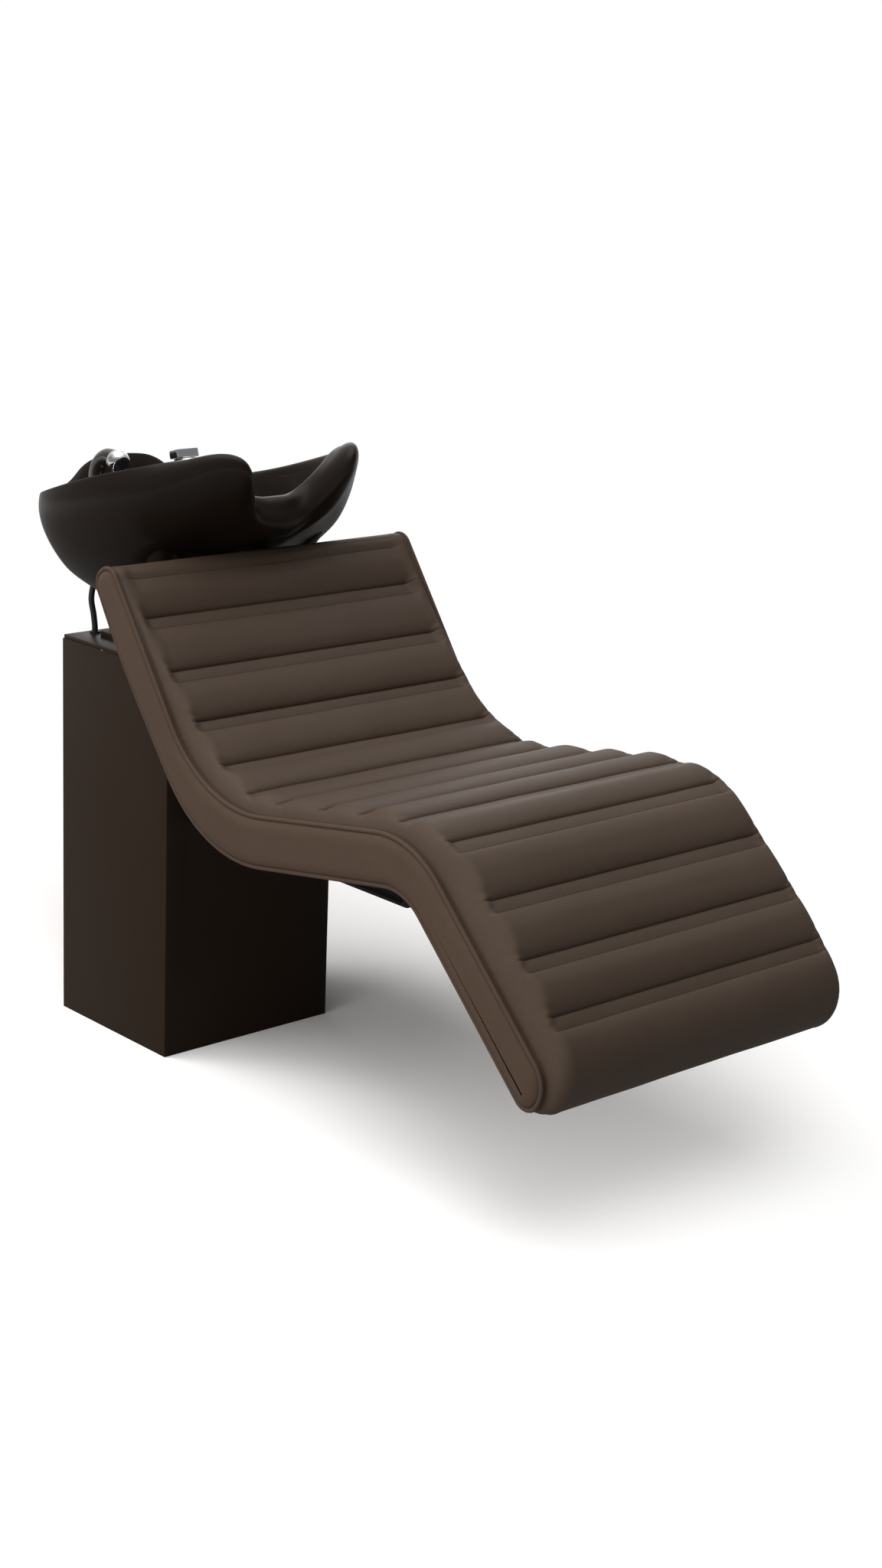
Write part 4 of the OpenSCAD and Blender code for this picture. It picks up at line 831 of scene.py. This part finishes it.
def basinRings():
    b = basin
    half = [Vector((x, v, w * b["notch"] if w < 0 else w)) for x, v, w in b["rim"]]
    loop = half + [Vector((-p.x, p.y, p.z)) for p in half[-2:0:-1]]
    count = len(loop)
    rim = [blend4(loop[i - 1], loop[i], loop[(i + 1) % count], loop[(i + 2) % count], t)
           for i in range(count) for t in (0, 0.5)]
    outer = [[] for _ in b["notchRings"] + b["notchFall"]]
    inner = [[] for _ in b["rearBowl"]]
    drain = [[], [], []]
    lobeAt, before, behind = b["lobeAngles"]
    for p in rim:
        signed = atan2(p.x, -(p.y - 10))
        a = abs(degrees(signed))
        away = Vector((sin(signed), -cos(signed)))
        notch = exp(-(a / b["notchAngle"]) ** 2)
        lobe = exp(-((a - lobeAt) / (before if a < lobeAt else behind)) ** 2) * (1 - notch)
        for k, (reach, rise) in enumerate(b["lobeRings"]):
            out, up = mixed(k, {"notchRings": notch, "sideRings": 1 - notch - lobe})
            outer[k].append(Vector((p.x + away.x * out, p.y + away.y * out - lobe * reach,
                                    p.z + up + lobe * rise)))
        q = outer[k][-1]
        fore = (1 - notch) * (1 - eased(*b["foreAngles"], a))
        foot = away * b["foot"] + Vector((0, b["footV"]))
        for k, ring in enumerate(outer[len(b["lobeRings"]):]):
            x, v, fall = mixed(k, {"notchFall": notch, "frontFall": fore, "sideFall": 1 - notch - fore})
            ring.append(Vector((foot.x + (q.x - foot.x) * x, foot.y + (q.y - foot.y) * v,
                                q.z + (-b["depth"] - q.z) * fall)))
        rear, lead = eased(*b["rearAngles"], a), 1 - eased(*b["leadAngles"], a)
        for k, ring in enumerate(inner):
            reach, share, rise = mixed(k, {"rearBowl": rear, "frontBowl": lead, "sideBowl": 1 - rear - lead})
            ring.append(Vector((p.x * reach, b["drainV"] + (p.y - b["drainV"]) * reach, p.z * share + rise)))
        turn = atan2(p.x, -(p.y - b["drainV"]))
        levels = ((b["drain"], -b["depth"]), (b["drain"], b["floor"]), (b["sump"], b["floor"]))
        for ring, (r, w) in zip(drain, levels):
            ring.append(Vector((r * sin(turn), b["drainV"] - r * cos(turn), w)))
    return [[toWorld(*p) for p in ring] for ring in outer + drain + inner[::-1]]


# The piece's mesh with its one modifier applied
def applied(piece):
    mesh = bpy.data.meshes.new_from_object(piece.evaluated_get(bpy.context.evaluated_depsgraph_get()))
    piece.modifiers.clear()
    return mesh


# The hollow under the rear deck that the taps' shanks come down into
pocket = {"x": 128, "front": 156, "rear": 196, "top": -45, "tall": 200, "rounding": 4}


def makeBasin():
    shell = placed("basinShell", toMesh("basinShell", loft(basinRings(), closed=True)))
    shell.modifiers.new("smooth", "SUBSURF").levels = 2
    shell.data = applied(shell)
    bm = bmesh.new()
    bmesh.ops.create_cube(bm, size=1)
    k = pocket
    sizes = Vector((2 * k["x"], k["rear"] - k["front"], k["tall"])) * mm
    middle = toWorld(0, (k["front"] + k["rear"]) / 2, k["top"] - k["tall"] / 2) * mm
    bmesh.ops.transform(bm, matrix=Matrix.Translation(middle) @ basinTurn @ Matrix.Diagonal((*sizes, 1)),
                        verts=bm.verts[:])
    bmesh.ops.bevel(bm, geom=bm.edges[:], offset=k["rounding"] * mm, affect="EDGES", segments=3,
                    profile=0.5, material=-1)
    tool = placed("pocketTool", toMesh("pocketTool", bm))
    bpy.context.view_layer.update()
    cut = shell.modifiers.new("cut", "BOOLEAN")
    cut.operation, cut.solver, cut.object = "DIFFERENCE", "EXACT", tool
    mesh = applied(shell)
    bpy.data.objects.remove(shell)
    bpy.data.objects.remove(tool)
    finishPiece("glazedBasin", mesh, "ceramic", "basin", ["basin"], 50)


makeBasin()
print("stage: basin made")


# Drain: flange, back nut and strainer
def atDrain(w):
    return toWorld(0, basin["drainV"], w)


def makeDrain():
    floorW, tail = basin["floor"], basin["tail"]
    flange = [(15, tail), (15, floorW - 9), (18, floorW - 8.9), (18, floorW + 0.6), (19, floorW + 1.8),
              (24, floorW + 2.6), (29.5, floorW + 1.4), (30.9, floorW + 0.3), (21, floorW + 0.2),
              (21, tail + 10), (20.2, tail + 9.4), (20.2, tail + 0.5), (19.7, tail), (15, tail)]
    finishPiece("drainFlange", turned(flange, atDrain(0), upBasin), "chrome", "basin", ["drain_fitting"], 40)
    low = -basin["depth"] - 8.2
    nut = [(r, low + w) for r, w in ((21.05, 0), (21.05, 8), (26, 8), (26.9, 7.1), (26.9, 0.9), (26, 0),
                                     (21.05, 0))]
    finishPiece("drainRing", turned(nut, atDrain(0), upBasin, 48), "chrome", "basin", ["drain_nut"], 40)
    softened("strainer", "chrome", 0.35, name="strainerPlate")


makeDrain()

# Shower: sleeve, handle that arches forward, chrome dome with a dark face
shower = {"x": -86, "v": 178, "arch": 42, "archW": 8, "turn": 135, "steps": 40, "radius": 13.5,
          "slimmer": 0.9, "shank": 8, "head": 19, "faceOut": 9, "holes": ((0, 1), (5, 6), (9.5, 12))}


def atShower(w, x=0, v=0):
    return toWorld(shower["x"] + x, shower["v"] + v, w)


def makeShower():
    s = shower
    hub, turn = atShower(s["archW"], v=-s["arch"]), basinTurn.to_3x3()
    deck, thick = -basin["deck"], s["radius"]

    # handle: straight foot, then the arch; thicker in the palm, slimmer at the neck
    foot = [(-76, 5), (-30.5, 5), (-30, s["shank"]), (4.3, s["shank"]), (4.5, thick - 1.3),
            (5.6, thick - 0.3), (8, thick)]
    points = [atShower(deck + w) for w, _ in foot]
    radii = [r for _, r in foot]
    for k in range(s["steps"] + 1):
        share = k / s["steps"]
        a = radians(s["turn"] * share)
        points.append(hub + turn @ Vector((0, s["arch"] * cos(a), s["arch"] * sin(a))))
        radii.append(thick - s["slimmer"] * sin(pi * min(1, share * 1.15)) * share)
    rings = tubeRings(points, lambda t: radii[round(t * (len(radii) - 1))], 40)
    finishPiece("showerHandle", loft(rings), "handleLacquer", "shower", ["shower_handle"], 40)

    # head: a half ball with a ring round its edge, and the spray face with its nozzles
    place, facing = points[-1], turn @ Vector((0, -sin(a), cos(a)))
    h, f = s["head"], s["faceOut"]
    angles = [radians(6 * k - 90) for k in range(15)]
    dome = [(max(0, h * cos(t)), h * sin(t)) for t in angles]
    dome += [(h * r, w) for r, w in ((1, 0), (0.985, 4), (0.95, 7.4), (0.87, f + 0.6), (0.83, f + 1.9),
                                     (0.79, f + 2), (0.755, f + 1.2))]
    dome += [(14.1, f - 0.5), (0, f - 0.5)]
    finishPiece("showerDome", turned(dome, place, facing, 72), "chrome", "shower", ["shower_head"], 40)
    ring = [(h * r, w) for r, w in ((0.99, -4.2), (1.012, -3.6), (1.02, -2.2), (1.012, -0.8),
                                    (0.99, -0.2), (0.99, -4.2))]
    finishPiece("domeRing", turned(ring, place, facing, 72), "chrome", "shower", sharp=60)
    plate = [(0, f), (13.6, f), (13.9, f + 0.4), (13.9, f + 1.9), (13.3, f + 2.6), (0, f + 3)]
    finishPiece("sprayPlate", turned(plate, place, facing), "sprayFace", "shower", ["spray_face"], 40)
    aimed = Vector((0, 0, 1)).rotation_difference(facing).to_matrix()
    nozzle = [(0, f + 3.9), (0.55, f + 3.7), (0.8, f + 3.2), (0.95, f + 2.5)]
    spots = [place + aimed @ Vector((r * cos(t), r * sin(t), 0))
             for r, count in s["holes"] for t in (2 * pi * i / count for i in range(count))]
    finishPiece("sprayNozzles", turnedAt(spots, nozzle, facing, 12), "rubber", "shower", sharp=60,
                slot="smoked_face")

    sleeve = [(r, deck + w) for r, w in ((8.05, -92), (8.05, 4.2), (9, 4.4), (12.5, 4.1), (15, 3.1),
                                         (15.9, 1.6), (16, 0.2), (10, 0.2), (10, -91.2), (9.2, -92),
                                         (8.05, -92))]
    finishPiece("showerSleeve", turned(sleeve, atShower(0), upBasin), "chrome", "basin",
                ["shower_sleeve"], 40)


makeShower()

# Mixer: body with a turned foot, a cap ring and a rounded lever block with two small screws
mixer = {"x": 98, "v": 174, "radius": 20, "top": 38, "shank": 11, "leverHigh": 55, "leverX": 46,
         "screws": ((9, 2.4), (18, 1.8))}  # distance from the lever's near end, radius


def atMixer(x, v, w):
    return toWorld(mixer["x"] + x, mixer["v"] + v, w)


def makeMixer():
    m = mixer
    deck, top, wide, shank = -basin["deck"], m["top"], m["radius"], m["shank"]
    body = [(0, -53), (shank - 0.6, -53), (shank, -52.4), (shank, deck + 0.5), (wide + 1.6, deck + 0.5),
            (wide + 2, deck + 1.2), (wide + 2, deck + 3), (wide + 0.8, deck + 4), (wide, deck + 4.6),
            (wide, top - 7), (wide - 0.5, top - 6.4), (wide - 0.5, top - 5.4), (wide, top - 4.8),
            (wide, top - 1.2), (wide - 0.8, top), (6.05, top), (6.05, top - 26), (0, top - 26)]
    finishPiece("mixerBody", turned(body, atMixer(0, 0, 0), upBasin, 72), "chrome", "basin",
                ["mixer_body"])
    softened("mixer_nut", "brass", 0.5, name="mixerNut")
    softened("mixer_cap", "chrome", 0.5, name="mixerCap")
    softened("mixer_lever", "chrome", 2.6, 5, "mixerLever")
    bm = bmesh.new()
    for inward, r in m["screws"]:
        spot = atMixer(inward - m["leverX"] / 2, -4, m["leverHigh"])
        head = [(0, -0.2), (r * 0.55, -0.2), (r * 0.62, 0.15), (r * 0.9, 0.2), (r, 0), (r, -0.8)]
        turned(head, spot, upBasin, 24, bm)
    finishPiece("leverScrews", bm, "bareSteel", "lever", sharp=40, slot="chrome")


makeMixer()
print("stage: taps made")


# Hoses: the construction's routes; the holes of the column's top, valves and trap that they lead to
hoseHoles = {"showerX": -118, "y": 131, "row": (90, 106, 122)}
valve = {"x": 42, "y": 92, "z": 335}
trap = {"y": 45, "top": 545}


def makeHoses():
    top, y, row, sx = column["height"], hoseHoles["y"], hoseHoles["row"], hoseHoles["showerX"]
    deck, under, tail = -basin["deck"], pocket["top"], basin["tail"]

    def water(side, x, way):
        end = Vector((side * valve["x"], valve["y"], valve["z"]))
        keys = [atMixer(side * 6, -3, under - 14), atMixer(side * 7, -3, -90),
                toWorld(x, mixer["v"] - 2, -140),
                (x, y + 2, top + 30), (x, y, top), (x, y, top - 60), *way,
                end + Vector((0, 0, 60)), end + Vector((0, 0, 32))]
        return [atMixer(side * 6, -3, under - 8.5), *route(keys, 8), end + Vector((0, 0, 27.4))]

    showerKeys = [
        atShower(deck - 82), atShower(deck - 96), atShower(-126, -12, 2), toWorld(-114, 188, -146),
        (sx, y + 11, top + 57), (sx, y + 4, top + 28), (sx, y, top - 2), (sx, y, top - 70),
        (sx + 14, y, top - 140), (-45, y, 455), (10, y, 440), (70, y, 465),
        (row[2] - 10, y, top - 130), (row[2], y, top - 60), (row[2], y, top),
        (row[2], y + 4, top + 30), toWorld(row[2] - 2, mixer["v"] + 10, -140),
        atMixer(7, 8, -90), atMixer(0, 6, under - 14)]
    wasteKeys = [atDrain(tail - 5), atDrain(tail - 15), (0, -8, 662), (0, 10, 634), (0, 34, 608),
                 (0, trap["y"], trap["top"] + 40), (0, trap["y"], trap["top"] + 30)]
    hot = water(-1, row[0], [(30, y, 566), (-36, 126, 520), (-44, 112, 450)])
    cold = water(1, row[1], [(76, 118, 500)])
    shower = [atShower(deck - 76.5), *route(showerKeys, 8), atMixer(0, 6, under - 8.5)]
    waste = [atDrain(tail - 0.6), *route(wasteKeys, 6), Vector((0, trap["y"], trap["top"] + 24.6))]
    # path, radius, look, and the heights between which the hose goes over from the unit to the basin
    runs = {
        "hose_hot": (hot, 4.5, "steelBraid", 700, 790),
        "hose_cold": (cold, 4.5, "steelBraid", 700, 790),
        "shower_hose": (shower, 5, "rubber", 690, 790),
        "waste_hose": (waste, 17, "rubber", 600, 696),
    }
    for node, (path, radius, look, low, high) in runs.items():
        stub = node == "waste_hose"  # a short stub between two spigots, no free hose
        bm = loft(corrugated(path, radius) if stub else tubeRings(path, radius, 24))
        addHoseMap(bm, path)
        piece = finishPiece(node.replace("_", "") + "Tube", bm, look, None, [node], 60)
        low * mm
        high * mm
        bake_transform(piece)
        if not stub:
            middle = [tuple(p * mm) for p in path]
            length = sum((b - a).length for a, b in zip(path, path[1:])) * mm
            2 * radius * mm


# Waste hose: rings that swell and narrow, plain cuffs at both ends
ribs = {"step": 1.5, "cuff": 12, "deep": 1.3, "pitch": 6}


def corrugated(path, radius):
    fine = []
    for a, b in zip(path, path[1:]):
        count = max(1, round((b - a).length / ribs["step"]))
        fine += [a.lerp(b, k / count) for k in range(count)]
    fine.append(path[-1])
    total = sum((b - a).length for a, b in zip(fine, fine[1:]))

    def wide(t):
        run = t * total
        if min(run, total - run) < ribs["cuff"]:
            return radius
        return radius - ribs["deep"] * (1 - cos(2 * pi * run / ribs["pitch"]))
    return tubeRings(fine, wide, 32)


# A UV map that runs round and along the hose, for its braid
def addHoseMap(bm, path):
    layer = bm.loops.layers.uv.new("hoseUV")
    middles = [p * mm for p in path]
    runs = [0]
    for a, b in zip(middles, middles[1:]):
        runs.append(runs[-1] + (b - a).length)
    for face in bm.faces:
        for loop in face.loops:
            near = min(range(len(middles)), key=lambda i: (middles[i] - loop.vert.co).length_squared)
            spoke = loop.vert.co - middles[near]
            loop[layer].uv = (atan2(spoke.y, spoke.x) / (2 * pi), runs[near])


makeHoses()


# Grommets: soft collars in the column's top plate, one on the left and a row on the right
def makeGrommets():
    top = column["top"]
    low = column["height"] - top - 2
    profile = [(5.9, 0), (5.9, top + 4.6), (6.3, top + 5), (8.2, top + 4.8), (8.9, top + 4), (9, top + 2.6),
               (8.8, top + 2), (7.4, top + 2), (7.4, 0.4), (7, 0), (5.9, 0)]
    for name, node, places in (("grommetLeftRing", "grommet_left", (hoseHoles["showerX"],)),
                               ("grommetRightRings", "grommets_right", hoseHoles["row"])):
        spots = [(x, hoseHoles["y"], low) for x in places]
        finishPiece(name, turnedAt(spots, profile, (0, 0, 1), 48), "rubber", "unit", [node], 40)


makeGrommets()
print("stage: hoses made")


# Rigid parts: node, look, rounding in mm, and the steps of the rounding where they aren't two
rigid = [
    ("column_shell", "columnPaint", 1.6, 3), ("column_top", "columnPaint", 0.8),
    ("rear_door", "columnPaint", 0.6), ("door_pull", "chrome", 0.9, 3),
    ("hinge_leaves", "bareSteel", 0.4), ("hinge_pins", "bareSteel", 0.6),
    ("door_magnets", "blackSteel", 0.6), ("support_arm", "blackSteel", 2.4, 3),
    ("seat_carrier", "blackSteel", 0.8), ("carrier_bolts", "bareSteel", 0.6),
    ("tilt_stand", "blackSteel", 1.2), ("basin_carrier", "blackSteel", 0.9),
    ("tilt_pins", "bareSteel", 0.8), ("basin_pad", "rubber", 0.6),
    ("base_plate", "bareSteel", 1.0), ("post", "bareSteel", 1.6),
    ("ballast_left", "castIron", 1.6), ("ballast_right", "castIron", 1.6),
    ("trap", "blackPlastic", 1.2), ("waste_pipe", "greyPlastic", 0.7),
    ("valve_hot", "brass", 0.7), ("valve_cold", "brass", 0.7),
    ("handle_hot", "redPlastic", 1.0), ("handle_cold", "bluePlastic", 1.0),
    ("seat_shell", "plywood", 0.8), ("former_left", "plywood", 0.8),
    ("former_right", "plywood", 0.8), ("mount_board", "plywood", 0.8),
]
for values in rigid:
    softened(*values)


# Fasteners: socket screws on the tilt stand and the hinge leaves
def screwHeads(name, spots, direction, radius, body):
    head = [(radius * r, radius * h) for r, h in ((0, 0.7), (0.52, 0.7), (0.6, 1), (0.86, 1), (1, 0.86),
                                                  (1, 0))]
    finishPiece(name, turnedAt(spots, head, direction, 20), "bareSteel", body)


standTop = column["height"] + 8
leafTop = column["depth"] / 2 + 2
hinges = (100, 552)
screwHeads("standScrews", [(x, y, standTop) for x in (-108, 108) for y in (-52, 95)], (0, 0, 1), 5.5, "unit")
leafSpots = [(-157.5, leafTop, z + k) for z in hinges for k in (-18, 18)]
doorSpots = [(x, leafTop, z) for z in hinges for x in (-132, -123)]
screwHeads("leafScrews", leafSpots, (0, 1, 0), 2.6, "unit")
screwHeads("doorLeafScrews", doorSpots, (0, 1, 0), 2.6, "door")
print("stage: rigid parts and fasteners made")


# Stage: pale floor, white background behind the part, soft light from the left and above
studio = {
    "floor": 0.95, "bounce": 0.22, "ambient": (0.03, 2.6), "radius": 9,
    "white": (0.4, 2.2),  # from here to there the floor goes over to white, in m
    "mirrored": (2.4, 5),  # and the same for its mirror image
    "lamps": [  # place, size, watts, colour, what it lights
        ((-0.15, -0.35, 3.9), 4.0, 66, (1.0, 0.98, 0.96), "EXCLUDE"),
        ((-2.8, -3.9, 4.2), 2.4, 75, (1, 1, 1), "INCLUDE"),
        ((-1.3, -2.8, 4.6), 3.4, 150, (1, 1, 1), "INCLUDE"),
        ((-1.6, 1.8, 4.8), 1.6, 50, (1, 1, 1), "INCLUDE"),
        ((2.6, 2.6, 2.0), 2.4, 16, (0.97, 0.98, 1.0), "EXCLUDE"),
    ],  # EXCLUDE lights all but the floor, INCLUDE the floor alone
    "aim": (0.0, -0.4, 0.55),
    "left": (-0.93, 0.30, 0.20),  # the side that the soft room light comes from
    "behind": (0.62, 0.7, 0.35),  # the side of the room that holds the white backdrop
    "above": (0, 0, 1),
    # how far round to those sides the white begins and is full, and its strength there
    "wall": (0.3, 0.9, 0.2, 0.65), "ceiling": (0.45, 0.9, 0, 0.7),
}


def lightPaths(shader):
    return (shader.node("LightPath", out="Is %s Ray" % ray)
            for ray in ("Camera", "Glossy", "Transmission"))


def makeStage():
    world = Shader("studioWorld", bpy.data.worlds.new("studioWorld"))
    scene.world = world.material
    camera, glossy, through = lightPaths(world)
    seen = (camera + glossy + through).clamp()
    behind, left, above = (world.node("VectorMath", {"operation": "DOT_PRODUCT"}, {
        0: world.place, 1: studio[k]}, out="Value") for k in ("behind", "left", "above"))
    wall = world.levels(behind, *studio["wall"])
    ceiling = world.levels(above, *studio["ceiling"])
    backdrop = (wall + ceiling + camera).clamp()
    ambient = world.node("Background", values={
        "Color": (1, 0.97, 0.94, 1), "Strength": world.levels(left, 0.0, 1.0, *studio["ambient"])})
    white = world.node("Background", values={"Color": (1, 1, 1, 1), "Strength": backdrop})
    both = world.node("MixShader", values={0: seen, 1: ambient, 2: white})
    world.feed(world.end.inputs, {"Surface": both})

    bm = bmesh.new()
    bmesh.ops.create_circle(bm, cap_ends=True, segments=96, radius=studio["radius"])
    floor = placed("studioFloor", toMesh("studioFloor", bm))
    s = Shader("studioFloorPaint")
    camera, glossy, through = lightPaths(s)
    tone, bounce = ((studio[k],) * 3 for k in ("floor", "bounce"))
    s.set(Base_Color=s.between(camera, bounce, tone), Roughness=0.9, Specular_IOR_Level=0.1)
    radius = s.node("VectorMath", {"operation": "LENGTH"}, {0: s.place}, out="Value")
    far = s.levels(radius, *studio["white"])
    mirrored = s.levels(radius, *studio["mirrored"])
    glow = s.node("Emission", values={"Color": (1, 1, 1, 1), "Strength": 1.0})
    white = (camera * far + (glossy + through) * mirrored * 0.9).clamp()
    both = s.node("MixShader", values={0: white, 1: Wire(s, s.principled.outputs[0]), 2: glow})
    s.feed(s.end.inputs, {"Surface": both})
    floor.data.materials.append(s.material)
    for i, (place, size, watts, colour, state) in enumerate(studio["lamps"]):
        data = bpy.data.lights.new("studioLamp%d" % i, "AREA")
        data.shape, data.size, data.energy, data.color = "DISK", size, watts, colour
        lamp = placed(data.name, data)
        linked = bpy.data.collections.new("lit" + data.name)
        linked.objects.link(floor)
        linked.collection_objects[0].light_linking.link_state = state
        lamp.light_linking.receiver_collection = linked
        aimAt = (Vector(studio["aim"]) - Vector(place)).to_track_quat("-Z", "Y")
        lamp.matrix_world = Matrix.Translation(place) @ aimAt.to_matrix().to_4x4()


makeStage()
print("stage: studio ready")
